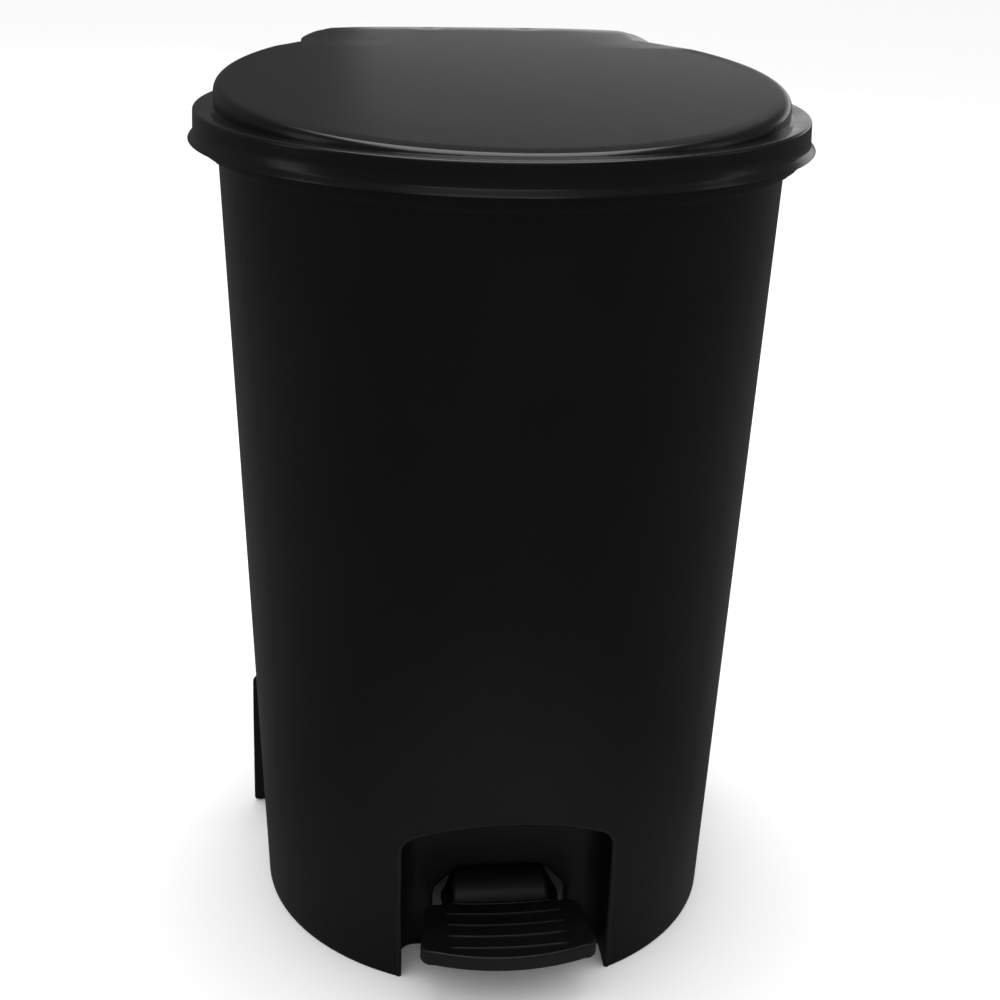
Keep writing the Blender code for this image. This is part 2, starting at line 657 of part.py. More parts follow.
def lever_section(y, half, top, depth):
    """A channel section, open below: a plate with a flange at each side."""
    inner = half - LEVER_SHEET
    under = top - LEVER_SHEET
    low = top - depth
    points = [(-half, low), (-half, top), (half, top), (half, low)]
    points += [(inner, low), (inner, under), (-inner, under), (-inner, low)]
    return [(x, y - PIVOT_Y, z - PIVOT_Z) for x, z in points]


def make_lever(pedal_pivot):
    """The lever is a loft through channel sections from under the tread to the nose below the push rod."""
    sections = [
        (-0.166, 0.0340, LEVER_FRONT_TOP, 0.0045),
        (-0.128, 0.0345, LEVER_FRONT_TOP, 0.0045),
        (-0.116, 0.0355, 0.0470, 0.0100),
        (-0.104, 0.0350, 0.0550, 0.0150),
        (-0.060, 0.0280, 0.0560, 0.0180),
        (-0.020, 0.0230, 0.0560, 0.0200),
        (0.030, 0.0220, 0.0560, 0.0200),
        (0.120, 0.0150, 0.0530, 0.0150),
        (ROD_Y - 0.0040, 0.0120, 0.0485, 0.0080),
    ]
    build = bmesh.new()
    rings = [[build.verts.new(point) for point in lever_section(*section)] for section in sections]
    for ring, following in zip(rings, rings[1:]):
        for index in range(len(ring)):
            after = (index + 1) % len(ring)
            build.faces.new((ring[index], ring[after], following[after], following[index]))
    build.faces.new(rings[0])
    build.faces.new(rings[-1])
    bmesh.ops.triangulate(build, faces=[face for face in build.faces if len(face.verts) == 8])
    bmesh.ops.recalc_face_normals(build, faces=build.faces)
    mesh = bpy.data.meshes.new("pedal_lever")
    build.to_mesh(mesh)
    build.free()
    lever = place(mesh, "pedal_lever", pedal_pivot)
    nose = rod(NOSE_RADIUS, (-NOSE_HALF, ROD_Y - PIVOT_Y, 0), (NOSE_HALF, ROD_Y - PIVOT_Y, 0), 32)
    cut(lever, place(nose, "lever_nose", pedal_pivot, cutter=True), "UNION", folded=True)
    rib = block((-0.0012, -0.1035 - PIVOT_Y, 0.042 - PIVOT_Z), (0.0012, -0.022 - PIVOT_Y, 0.0545 - PIVOT_Z))
    cut(lever, place(rib, "lever_rib", pedal_pivot, cutter=True), "UNION")
    drill(lever, "lever_bore", pedal_pivot, AXLE_RADIUS + 0.0004, (-0.03, 0, 0), (0.03, 0, 0))
    for side in (-1, 1):
        x = side * PEDAL_SCREW_X
        drill(lever, "lever_screw_hole", pedal_pivot, SCREW_HOLE, (x, PEDAL_SCREW_Y - PIVOT_Y, -3 * BEYOND),
              (x, PEDAL_SCREW_Y - PIVOT_Y, 0))
    return finish_part(lever, BLACK, 0.4)


def make_pedal_screws(pedal_pivot):
    tip_z = TREAD_TOP - 0.0018
    length = tip_z - (LEVER_FRONT_TOP - LEVER_SHEET - GAP)
    for side, word in ((-1, "left"), (1, "right")):
        tip = (side * PEDAL_SCREW_X, PEDAL_SCREW_Y - PIVOT_Y, tip_z - PIVOT_Z)
        screw_part("pedal_screw_" + word, pedal_pivot, tip, (0, 0, -1), length)


# ---- Push rod ----

def make_push_rod(rod_axis):
    """The rod with its foot on the lever's nose and its head round the crank pin."""
    foot_socket = ROD_FOOT_LOW + ROD_SOCKET_FOOT
    head_socket = ROD_HEAD_LOW + ROD_SOCKET_HEAD
    shaft = rod(ROD_RADIUS, (0, 0, foot_socket + GAP), (0, 0, head_socket - GAP))
    finish_part(place(shaft, "push_rod", rod_axis), STEEL, 0.3, 1.0)
    foot_top = ROD_FOOT_LOW + ROD_FOOT_HEIGHT
    foot = place(block((-ROD_FOOT_HALF, -ROD_FOOT_HALF, ROD_FOOT_LOW), (ROD_FOOT_HALF, 0.0085, foot_top)),
                 "rod_foot", rod_axis)
    drill(foot, "foot_socket", rod_axis, ROD_RADIUS + GAP, (0, 0, foot_socket), (0, 0, foot_top + BEYOND))
    finish_part(foot, BLACK, 0.45)
    pin_z = HINGE_Z - CRANK_RADIUS * math.sin(CRANK_START)
    head = place(block((-0.005, -ROD_HEAD_HALF, ROD_HEAD_LOW), (0.005, ROD_HEAD_HALF, pin_z + 0.0065)),
                 "rod_head", rod_axis)
    drill(head, "head_socket", rod_axis, ROD_RADIUS + GAP, (0, 0, ROD_HEAD_LOW - BEYOND), (0, 0, head_socket))
    slot = arc((SLOT_REACH, pin_z), SLOT_RADIUS, -90, 90, 8) + arc((-SLOT_REACH, pin_z), SLOT_RADIUS, 90, 270, 8)
    cut(head, place(side_plate(slot, 2 * BEYOND), "head_slot", rod_axis, cutter=True))
    finish_part(head, BLACK, 0.45)


# ---- Lid. Its frame sits on the hinge axis; the lip plane is HINGE_ABOVE_LIP below it. ----

def roof_rise(y):
    """How far the roof stands above its height at the lid's axis: a slope up to the rear that rolls over."""
    rolled = max(0.0, y - ROLL_START_Y)
    return DISC_SLOPE * y - rolled ** 2 / (2 * ROLL_RADIUS)


def lean(mesh_object, above):
    """Tilts the raised disc: points higher than above follow the roof."""
    for vert in mesh_object.data.vertices:
        if vert.co.z > above:
            vert.co.z += roof_rise(vert.co.y)


def lid_profile(inset, foot):
    """The lid's outside as (radius, height above the lip plane), or its hollow when inset is the wall."""
    disc = DISC_RADIUS - inset
    flange = FLANGE_HEIGHT - inset
    skirt = SKIRT_RADIUS - inset
    lip = LIP_RADIUS - inset
    top = DISC_HEIGHT - inset
    profile = [(0, top), (disc - LID_EDGE, top), (disc, top - 0.4 * LID_EDGE), (disc, flange)]
    profile += [(skirt - LID_EDGE, flange), (skirt, flange - LID_EDGE), (skirt, LIP_HEIGHT + 0.0005)]
    profile += [(lip, LIP_HEIGHT - 0.0005), (lip, foot), (0, foot)]
    return profile


def block_shape(inset, low, rear_y, half, drop):
    """One level of the hinge block: as wide as half, with its roof at drop below the disc's."""
    steps = 8
    line = [BLOCK_FRONT_Y + (rear_y - BLOCK_FRONT_Y) * i / steps for i in range(steps + 1)]
    roof = [(y, DISC_HEIGHT - BLOCK_STEP - inset - drop + roof_rise(y)) for y in line]
    return side_plate([(BLOCK_FRONT_Y, low)] + roof + [(rear_y, low)], 2 * (half - inset))


def lug(name, lid, lid_hinge, x, thickness, outline):
    piece = place(side_plate(outline, thickness), name, lid_hinge, (x, 0, 0), True)
    cut(lid, piece, "UNION")


def roof_at(y):
    """The height of the roof's underside in the hinge frame, y measured from the hinge."""
    return DISC_HEIGHT - LID_WALL - HINGE_ABOVE_LIP + roof_rise(y + HINGE_Y) + 0.0006


def make_lid(lid_hinge):
    centre = (0, -HINGE_Y, -HINGE_ABOVE_LIP)
    block_rear = HINGE_Y + BLOCK_BEHIND_HINGE
    lid = turned("lid_shell", lid_profile(0, 0), lid_hinge, centre)
    lean(applied(lid), FLANGE_HEIGHT + 0.001)
    levels = (("neck", NECK_HALF, 0.0), ("shoulder", BLOCK_HALF, BLOCK_SHOULDER_DROP))
    for word, half, drop in levels:
        outside = block_shape(0, 2 * BLOCK_STEP, block_rear - drop / 10, half, drop)
        cut(lid, place(outside, "block_" + word, lid_hinge, centre, True), "UNION")
    hollow = turned("lid_hollow", lid_profile(LID_WALL, -BEYOND), lid_hinge, centre, True)
    lean(applied(hollow), FLANGE_HEIGHT - LID_WALL + 0.001)
    cut(lid, hollow)
    for word, half, drop in levels:
        inside = block_shape(LID_WALL, -BEYOND, block_rear - drop / 10 - LID_WALL, half, drop)
        cut(lid, place(inside, "block_inside_" + word, lid_hinge, centre, True))
    rear_gap = block((-0.2, 0.0020, -0.03), (0.2, 0.03, BLOCK_REAR_CLEAR - HINGE_ABOVE_LIP))
    cut(lid, place(rear_gap, "block_rear_gap", lid_hinge, cutter=True))
    ear = [(-0.010, roof_at(-0.010))] + arc((0, 0), EAR_RADIUS, 190, 350, 10) + [(0.0042, roof_at(0.0042))]
    for side in (-1, 1):
        for x in (HINGE_X - EAR_OFFSET, HINGE_X + EAR_OFFSET):
            lug("hinge_ear", lid, lid_hinge, side * x, EAR_THICKNESS, ear)
    crank_angle = CRANK_START + LID_AJAR
    pin_y = -CRANK_RADIUS * math.cos(crank_angle)
    pin_z = -CRANK_RADIUS * math.sin(crank_angle)
    crank = [(-0.026, roof_at(-0.026))] + arc((pin_y, pin_z), EAR_RADIUS, 185, 350, 10) + [(-0.004, roof_at(-0.004))]
    for side in (-1, 1):
        lug("crank_ear", lid, lid_hinge, side * EAR_OFFSET, CRANK_EAR_THICKNESS, crank)
        drill(lid, "ear_bore", lid_hinge, HINGE_PIN_RADIUS + 0.0005, (side * 0.045, 0, 0), (side * 0.08, 0, 0))
    drill(lid, "crank_bore", lid_hinge, CRANK_PIN_RADIUS + GAP, (-0.02, pin_y, pin_z), (0.02, pin_y, pin_z))
    finish_part(lid, BLACK, 0.3)
    pin = place(rod(CRANK_PIN_RADIUS, (-CRANK_PIN_HALF, 0, 0), (CRANK_PIN_HALF, 0, 0), 32), "crank_pin", lid_hinge,
                (0, pin_y, pin_z))
    return finish_part(pin, STEEL, 0.3, 1.0)


clear_scene()
PARTS = new_collection("pedal_bin")
CUTTERS = new_collection("cutters")


def main():
    bin_axis = new_empty("bin_axis", (0, AXIS_Y, 0))
    pedal_pivot = new_empty("pedal_pivot_axis", (0, PIVOT_Y, PIVOT_Z), bin_axis)
    rod_axis = new_empty("rod_axis", (0, ROD_Y, 0), bin_axis)
    lid_hinge = new_empty("lid_hinge_axis", (0, HINGE_Y, HINGE_Z), bin_axis)
    lid_hinge.rotation_euler = (-LID_AJAR, 0, 0)
    make_body(bin_axis)
    make_recess(bin_axis)
    make_rear_guard(bin_axis)
    make_guard_screws(bin_axis)
    make_channel(bin_axis)
    make_guides(bin_axis)
    make_hinge_brackets(bin_axis)
    make_axle_brackets(bin_axis)
    make_tread(pedal_pivot)
    make_lever(pedal_pivot)
    make_pedal_screws(pedal_pivot)
    make_push_rod(rod_axis)
    make_lid(lid_hinge)


main()
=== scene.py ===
"""Looks for the round pedal bin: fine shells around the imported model, its materials and a studio."""

import json
import math

import bmesh
import bpy
import numpy as np
from mathutils import Matrix, Vector, noise


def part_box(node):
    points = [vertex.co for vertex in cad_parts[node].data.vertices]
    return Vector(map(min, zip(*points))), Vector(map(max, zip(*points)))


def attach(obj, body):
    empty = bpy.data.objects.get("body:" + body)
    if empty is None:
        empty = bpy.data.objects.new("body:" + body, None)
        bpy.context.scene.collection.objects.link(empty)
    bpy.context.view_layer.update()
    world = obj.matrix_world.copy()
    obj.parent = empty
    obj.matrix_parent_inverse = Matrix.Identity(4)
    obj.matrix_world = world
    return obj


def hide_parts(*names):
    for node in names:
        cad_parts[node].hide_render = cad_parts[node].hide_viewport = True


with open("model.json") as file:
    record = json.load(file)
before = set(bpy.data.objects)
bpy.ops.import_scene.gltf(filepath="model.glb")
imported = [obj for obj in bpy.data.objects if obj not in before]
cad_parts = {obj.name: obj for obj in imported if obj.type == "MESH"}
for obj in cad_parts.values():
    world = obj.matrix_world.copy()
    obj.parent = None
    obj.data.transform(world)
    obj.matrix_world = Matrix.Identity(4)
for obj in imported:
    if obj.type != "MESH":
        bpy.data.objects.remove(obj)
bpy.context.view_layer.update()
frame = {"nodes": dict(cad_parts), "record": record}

# ---- Places and sizes from the frame, metres ----

JOINTS = {joint["name"]: joint for joint in frame["record"]["behaviour"]["joints"]}
HINGE = Vector(JOINTS["lid_hinge"]["pos_m"])
PIVOT = Vector(JOINTS["pedal_pivot"]["pos_m"])
BODY_LOW, BODY_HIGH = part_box("body_shell")
COLLAR_RADIUS = BODY_HIGH.x
RIM_TOP = BODY_HIGH.z
AXIS_Y = BODY_LOW.y + COLLAR_RADIUS
LIP_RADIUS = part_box("lid_shell")[1].x
GUARD_LOW, GUARD_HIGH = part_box("rear_guard")
CHANNEL_LOW, CHANNEL_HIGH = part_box("rod_channel")
TREAD_LOW, TREAD_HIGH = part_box("pedal_plate")

# Body
WALL = 0.0025
BASE_RADIUS = 0.163
TAPER_RADIUS = 0.184
TAPER_HEIGHT = 0.5437
COLLAR_HEIGHT = 0.0105
RIM_EDGE = 0.0015
COLLAR_EDGE = 0.0022
FLOOR_TOP = 0.1375
FLOOR_CORNER = 0.008
FOOT_RIM_DEPTH = 0.009
FOOT_EDGE = 0.0012
FLASH_HEIGHT = 0.0005

# Pedal opening
ARCH_HALF_WIDTH = 0.0712
ARCH_CROWN = 0.133
ARCH_CORNER = 0.017
ARCH_RETURN = 0.0034
RECESS_BACK = -0.107
RECESS_CORNER = 0.012
WINDOW_TOP = 0.063
WINDOW_HALF_TOP = 0.034
WINDOW_HALF_BOTTOM = 0.047
WINDOW_ROLL = 0.004
RECESS_SHEET = 0.0018

# Lid, in heights above its lip plane
LID_WALL = 0.0022
LID_AJAR = math.radians(2.18)
SKIRT_RADIUS = 0.200
LIP_HEIGHT = 0.005
FLANGE_HEIGHT = 0.0195
DISC_RADIUS = 0.186
DISC_EDGE = 0.006
DISC_HEIGHT = 0.0356
DISC_SLOPE = 0.075
HINGE_ABOVE_LIP = 0.005
HINGE_FROM_AXIS = HINGE.y - AXIS_Y
ROLL_START_Y = 0.170
ROLL_RADIUS = 0.12
NECK_HALF = 0.1163
NECK_FILLET = 0.004
NECK_CORNER = 0.009
BLOCK_HALF = 0.129
BLOCK_FRONT_Y = 0.100
BLOCK_BEHIND_HINGE = 0.006
BLOCK_REAR_CLEAR = 0.012
BLOCK_CORNER = 0.006
ROOF_CORNER_DROP = 0.0020
DIMPLE_X = 0.036
DIMPLE_Y = 0.181
DIMPLE_DEPTH = 0.0010
DIMPLE_RADIUS = 0.0042
HINGE_X = 0.062
EAR_RADIUS = 0.0065
EAR_OFFSET = 0.0085
CRANK_RADIUS = 0.0196
CRANK_START = math.radians(35)

# Rear guard, channel and pedal
GAP = 0.0003
GUARD_RADIUS = 0.191
GUARD_CENTRE_Y = AXIS_Y + 0.015
GUARD_DRAFT = 0.0010
GUARD_EDGE = 0.006
GUARD_FOOT = 0.0035
GUARD_CORNER = 0.0015
GUARD_SCREW_ANGLE = math.radians(35)
GUARD_SCREW_Z = 0.057
ROD_Y = (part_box("push_rod")[0].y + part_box("push_rod")[1].y) / 2
CHANNEL_CORNER = 0.006
GUIDE_HEIGHTS = (0.170, 0.490)
SCREW_HOLE = 0.0023
TREAD_FRONT = TREAD_LOW.y
TREAD_TOP = 0.044
TREAD_HALF_FRONT = 0.060
TREAD_HALF_REAR = 0.0545
TREAD_BOW = 0.0135
TREAD_CORNER = 0.009
TREAD_REAR_CORNER = 0.007
TREAD_EDGE = 0.0022
TREAD_SHEET = 0.0025
TREAD_RIBS = 5
RIB_WIDTH = 0.0013
RIB_PITCH = 0.0128
PEDAL_SCREW_X = 0.022
PEDAL_SCREW_Y = AXIS_Y - 0.150
LEVER_SHEET = 0.0025
LEVER_SHOULDER = 0.0030
BRACKET_HALF = 0.005
BRACKET_SCREW_Z = 0.512
ROD_SOCKET = 0.0028
SLOT_REACH = 0.0018
SLOT_RADIUS = 0.0037
HEAD_CORNER = 0.004

ROUND = 360
BAR_SIDES = 48
SMOOTH_ANGLE = math.radians(32)
EDGE_ANGLE = math.radians(35)


# ---- Mesh helpers ----

def new_piece(name, points, faces, material=None):
    mesh = bpy.data.meshes.new(name)
    mesh.from_pydata([tuple(point) for point in points], [], faces)
    mesh.validate()
    piece = bpy.data.objects.new(name, mesh)
    bpy.context.scene.collection.objects.link(piece)
    if material:
        mesh.materials.append(material)
    return piece


def outward(piece):
    build = bmesh.new()
    build.from_mesh(piece.data)
    bmesh.ops.remove_doubles(build, verts=build.verts, dist=1e-6)
    bmesh.ops.recalc_face_normals(build, faces=build.faces)
    build.to_mesh(piece.data)
    build.free()
    return piece


def loft(name, rings, material=None, capped=True, closed=True):
    """Rings of equally many points, joined by quads; the first and last ring are filled when capped."""
    count = len(rings[0])
    points = [point for ring in rings for point in ring]
    faces = []
    for level in range(len(rings) - 1):
        for index in range(count if closed else count - 1):
            after = (index + 1) % count
            low = level * count
            faces.append((low + index, low + after, low + count + after, low + count + index))
    if capped:
        faces.append(tuple(range(count)))
        faces.append(tuple((len(rings) - 1) * count + index for index in range(count)))
    return outward(new_piece(name, points, faces, material))


def lathe(name, profile, centre_y, material=None):
    """A profile of (radius, height), turned about the upright axis at centre_y.

    The profile closes on itself, or on the axis when it starts there.
    """
    on_axis = profile[0][0] == 0
    rings = []
    for radius, height in profile:
        if radius > 0:
            rings.append([(radius * math.sin(2 * math.pi * k / ROUND),
                           centre_y - radius * math.cos(2 * math.pi * k / ROUND), height)
                          for k in range(ROUND)])
    if not on_axis:
        rings.append(rings[0])
    piece = loft(name, rings, material, capped=False)
    if on_axis:
        build = bmesh.new()
        build.from_mesh(piece.data)
        open_edges = [edge for edge in build.edges if edge.is_boundary]
        rims = bmesh.ops.holes_fill(build, edges=open_edges, sides=0)
        bmesh.ops.poke(build, faces=rims["faces"])
        bmesh.ops.recalc_face_normals(build, faces=build.faces)
        build.to_mesh(piece.data)
        build.free()
    return piece


def arc(centre, radius, start, end, steps):
    """Points on an arc, angles in degrees."""
    angles = [math.radians(start + (end - start) * step / steps) for step in range(steps + 1)]
    return [(centre[0] + radius * math.cos(a), centre[1] + radius * math.sin(a)) for a in angles]


def prism(name, outline, place, half, axis):
    """An outline of two coordinates, made solid along the axis named x, y or z."""
    def point(a, b, depth):
        local = {"x": (depth, a, b), "y": (a, depth, b), "z": (a, b, depth)}[axis]
        return Vector(local) + Vector(place)
    return loft(name, [[point(a, b, depth) for a, b in outline] for depth in (-half, half)])


def box_solid(name, low, high):
    middle = [(a + b) / 2 for a, b in zip(low, high)]
    outline = [(low[0], low[1]), (high[0], low[1]), (high[0], high[1]), (low[0], high[1])]
    return prism(name, outline, (0, 0, middle[2]), (high[2] - low[2]) / 2, "z")


def bar(name, radius, start, end):
    """A round bar from start to end."""
    start = Vector(start)
    along = Vector(end) - start
    turn = Vector((0, 0, 1)).rotation_difference(along.normalized()).to_matrix()
    ring = []
    for k in range(BAR_SIDES):
        angle = 2 * math.pi * k / BAR_SIDES
        ring.append(turn @ Vector((radius * math.cos(angle), radius * math.sin(angle), 0)))
    return loft(name, [[start + point for point in ring], [start + along + point for point in ring]])


def settle(piece):
    """Makes a piece's modifiers part of its mesh."""
    bpy.context.view_layer.update()
    shape = piece.evaluated_get(bpy.context.evaluated_depsgraph_get())
    mesh = bpy.data.meshes.new_from_object(shape)
    piece.modifiers.clear()
    piece.data = mesh
    return piece


def combine(piece, tool, operation="DIFFERENCE"):
    """Cuts or joins a tool into a piece, and removes the tool."""
    step = piece.modifiers.new("combine", "BOOLEAN")
    step.operation = operation
    step.solver = "EXACT"
    step.object = tool
    settle(piece)
    bpy.data.objects.remove(tool)
    return piece


def smooth(piece):
    piece.data.shade_smooth()
    piece.data.set_sharp_from_angle(angle=SMOOTH_ANGLE)
    return piece


def soften(piece, width):
    """Rounds a piece's hard edges."""
    step = piece.modifiers.new("soft_edges", "BEVEL")
    step.width = width
    step.segments = 3
    step.limit_method = "ANGLE"
    step.angle_limit = EDGE_ANGLE
    step.harden_normals = True
    return smooth(piece)


def edge_normals(outline):
    """The outward direction at each point of a closed outline."""
    normals = []
    for index in range(len(outline)):
        ahead = outline[(index + 1) % len(outline)]
        behind = outline[index - 1]
        along = Vector((ahead[0] - behind[0], ahead[1] - behind[1])).normalized()
        normals.append((along.y, -along.x))
    return normals


def between(start, end, count):
    """The points that split a line into count steps, without its ends."""
    return [(start[0] + (end[0] - start[0]) * k / count, start[1] + (end[1] - start[1]) * k / count)
            for k in range(1, count)]


def mirrored(right):
    """Closes an outline whose right half runs from its front middle to its rear middle."""
    return right + [(-x, y) for x, y in reversed(right[1:-1])]


def fit(piece, body, slot_name, *nodes):
    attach(piece, body)
    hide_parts(*nodes)
    return piece


# ---- Materials ----

def shader_nodes(name):
    material = bpy.data.materials.new(name)
    material.use_nodes = True
    return material, material.node_tree, material.node_tree.nodes["Principled BSDF"]


def noise_node(tree, scale, detail, coordinates, stretch=(1, 1, 1)):
    mapping = tree.nodes.new("ShaderNodeMapping")
    mapping.inputs["Scale"].default_value = stretch
    tree.links.new(coordinates, mapping.inputs["Vector"])
    texture = tree.nodes.new("ShaderNodeTexNoise")
    texture.inputs["Scale"].default_value = scale
    texture.inputs["Detail"].default_value = detail
    tree.links.new(mapping.outputs["Vector"], texture.inputs["Vector"])
    return texture.outputs["Fac"]


def ranged(tree, value, low, high, start=0.3, end=0.7):
    """Spreads a noise value over a range."""
    node = tree.nodes.new("ShaderNodeMapRange")
    node.inputs["From Min"].default_value = start
    node.inputs["From Max"].default_value = end
    node.inputs["To Min"].default_value = low
    node.inputs["To Max"].default_value = high
    tree.links.new(value, node.inputs["Value"])
    return node.outputs["Result"]


def blend_colours(tree, factor, first, second):
    node = tree.nodes.new("ShaderNodeMix")
    node.data_type = "RGBA"
    node.inputs["A"].default_value = (*first, 1)
    node.inputs["B"].default_value = (*second, 1)
    tree.links.new(factor, node.inputs["Factor"])
    return node.outputs["Result"]


def bump_chain(tree, shader, steps):
    """Stacks bumps: each step is a height, a strength and a distance in metres."""
    before = None
    for height, strength, distance in steps:
        bump = tree.nodes.new("ShaderNodeBump")
        bump.inputs["Strength"].default_value = strength
        bump.inputs["Distance"].default_value = distance
        tree.links.new(height, bump.inputs["Height"])
        if before:
            tree.links.new(before, bump.inputs["Normal"])
        before = bump.outputs["Normal"]
    tree.links.new(before, shader.inputs["Normal"])


def plastic(name, dark, light, rough, grain, grain_scale, wave):
    """Moulded black plastic: a fine mould grain, slow waves in the wall, and marks in its gloss."""
    material, tree, shader = shader_nodes(name)
    coordinates = tree.nodes.new("ShaderNodeTexCoord").outputs["Object"]
    cloudy = noise_node(tree, 9.0, 4.0, coordinates)
    colour = blend_colours(tree, ranged(tree, cloudy, 0, 1), dark, light)
    tree.links.new(colour, shader.inputs["Base Color"])
    marks = noise_node(tree, 34.0, 6.0, coordinates, (1.0, 1.0, 0.25))
    tree.links.new(ranged(tree, marks, rough[0], rough[1]), shader.inputs["Roughness"])
    fine = noise_node(tree, grain_scale, 2.0, coordinates)
    slow = noise_node(tree, 14.0, 1.0, coordinates, (1.0, 1.0, 0.35))
    bump_chain(tree, shader, [(slow, wave, 0.0006), (fine, grain, 0.00006)])
    shader.inputs["Specular IOR Level"].default_value = 0.5
    return material


def steel(name, colour, rough):
    """Drawn steel: fine lines along X and a little tarnish."""
    material, tree, shader = shader_nodes(name)
    coordinates = tree.nodes.new("ShaderNodeTexCoord").outputs["Object"]
    lines = noise_node(tree, 900.0, 3.0, coordinates, (0.05, 1.0, 1.0))
    tarnish = noise_node(tree, 60.0, 4.0, coordinates)
    darker = tuple(0.7 * part for part in colour)
    mixed = blend_colours(tree, ranged(tree, tarnish, 0, 1), darker, colour)
    tree.links.new(mixed, shader.inputs["Base Color"])
    tree.links.new(ranged(tree, lines, rough - 0.08, rough + 0.1), shader.inputs["Roughness"])
    bump_chain(tree, shader, [(lines, 0.2, 0.00003)])
    shader.inputs["Metallic"].default_value = 1.0
    return material


BODY_PLASTIC = plastic("black_body", dark=(0.0010, 0.0010, 0.0012), light=(0.0020, 0.0020, 0.0022),
                       rough=(0.25, 0.31), grain=0.10, grain_scale=1500.0, wave=0.04)
LID_PLASTIC = plastic("black_lid", dark=(0.0015, 0.0015, 0.0017), light=(0.0025, 0.0025, 0.0027),
                      rough=(0.21, 0.26), grain=0.15, grain_scale=1300.0, wave=0.01)
# Painted light: a lighter copy of the body's black plastic for the pedal, lever and pedal pocket, brightened
# to stand in for light reaching the shaded pocket.
PEDAL_PLASTIC_PAINTED_LIGHTER = plastic("black_pedal_painted_lighter", dark=(0.0035, 0.0035, 0.0037), light=(0.0055, 0.0055, 0.0058),
                        rough=(0.30, 0.38), grain=0.20, grain_scale=1500.0, wave=0.05)
FITTING_PLASTIC = plastic("black_fitting", dark=(0.0030, 0.0030, 0.0033), light=(0.0050, 0.0050, 0.0054),
                          rough=(0.42, 0.58), grain=0.40, grain_scale=1100.0, wave=0.05)
PIN_STEEL = steel("pin_steel", (0.52, 0.52, 0.53), 0.28)
SCREW_STEEL = steel("screw_steel", (0.48, 0.48, 0.50), 0.34)


# ---- Body ----

def wall_radius(height):
    return BASE_RADIUS + (TAPER_RADIUS - BASE_RADIUS) * height / TAPER_HEIGHT


def arch_path(grow, foot=0.0, side_steps=26):
    """The pedal opening as (x, z, outward x, outward z), from foot to foot, drawn larger by grow."""
    half = ARCH_HALF_WIDTH
    corner_x = half - ARCH_CORNER
    corner_z = math.sqrt((ARCH_CROWN - ARCH_CORNER) ** 2 - corner_x ** 2)
    lean = math.degrees(math.atan2(corner_z, corner_x))
    path = [(half, foot + (corner_z - foot) * k / side_steps, 1.0, 0.0) for k in range(side_steps)]
    for x, z in arc((0, 0), 1.0, 0, lean, 12):
        path.append((corner_x + ARCH_CORNER * x, corner_z + ARCH_CORNER * z, x, z))
    for x, z in arc((0, 0), 1.0, lean, 90, 30)[1:]:
        path.append((ARCH_CROWN * x, ARCH_CROWN * z, x, z))
    path += [(-x, z, -out_x, out_z) for x, z, out_x, out_z in reversed(path[:-1])]
    return [(x + grow * out_x, z + grow * out_z, out_x, out_z) for x, z, out_x, out_z in path]


def make_body():
    """The tapered wall, its floor and foot rim, and the turned-out collar, as one moulding."""
    under_rim = RIM_TOP - WALL
    collar_foot = RIM_TOP - COLLAR_HEIGHT
    floor_under = FLOOR_TOP - WALL
    rise = 90
    floor_edge = wall_radius(FLOOR_TOP) - WALL - FLOOR_CORNER
    inside_foot = FLOOR_TOP + FLOOR_CORNER
    profile = [(0, FLOOR_TOP), (floor_edge, FLOOR_TOP)]
    profile += arc((floor_edge, inside_foot), FLOOR_CORNER, -80, 0, 6)
    for step in range(1, 41):
        height = inside_foot + (under_rim - 0.004 - inside_foot) * step / 40
        profile.append((wall_radius(height) - WALL, height))
    inner_top = wall_radius(RIM_TOP) - WALL
    profile += arc((inner_top + RIM_EDGE, RIM_TOP - RIM_EDGE), RIM_EDGE, 170, 90, 6)
    profile += arc((COLLAR_RADIUS - COLLAR_EDGE, RIM_TOP - COLLAR_EDGE), COLLAR_EDGE, 90, 0, 8)
    profile += arc((COLLAR_RADIUS - 0.0006, collar_foot + 0.0006), 0.0006, 0, -90, 3)
    profile += [(COLLAR_RADIUS - 0.0020, collar_foot), (COLLAR_RADIUS - 0.0022, under_rim - 0.0005)]
    profile += arc((wall_radius(under_rim) + RIM_EDGE, under_rim - RIM_EDGE), RIM_EDGE, 90, 180, 4)
    for step in range(1, rise):
        height = (under_rim - 0.002) * (1 - step / rise)
        profile.append((wall_radius(height), height))
    profile += arc((BASE_RADIUS - FOOT_EDGE, FOOT_EDGE), FOOT_EDGE, 0, -90, 4)
    profile += [(BASE_RADIUS - FOOT_RIM_DEPTH, 0), (BASE_RADIUS - FOOT_RIM_DEPTH, WALL)]
    profile += [(BASE_RADIUS - WALL, WALL)]
    for step in range(1, 13):
        height = WALL + (floor_under - WALL) * step / 12
        profile.append((wall_radius(height) - WALL, height))
    profile.append((0, floor_under))
    body = lathe("bin_body", profile, AXIS_Y, BODY_PLASTIC)
    arch = [(x, z) for x, z, _, _ in arch_path(ARCH_RETURN, -0.02)]
    combine(body, prism("arch", arch, (0, AXIS_Y - 0.145, 0), 0.045, "y"))
    lever_slot = box_solid("lever_slot", (-0.020, AXIS_Y + 0.150, 0.024), (0.020, AXIS_Y + 0.180, 0.090))
    rim_notch = box_solid("rim_notch", (-0.022, AXIS_Y + 0.1853, 0.53), (0.022, AXIS_Y + 0.21, 0.58))
    combine(body, lever_slot)
    combine(body, rim_notch)
    fray_collar(body)
    smooth(body)
    return fit(body, "body", "body_plastic", "body_shell")


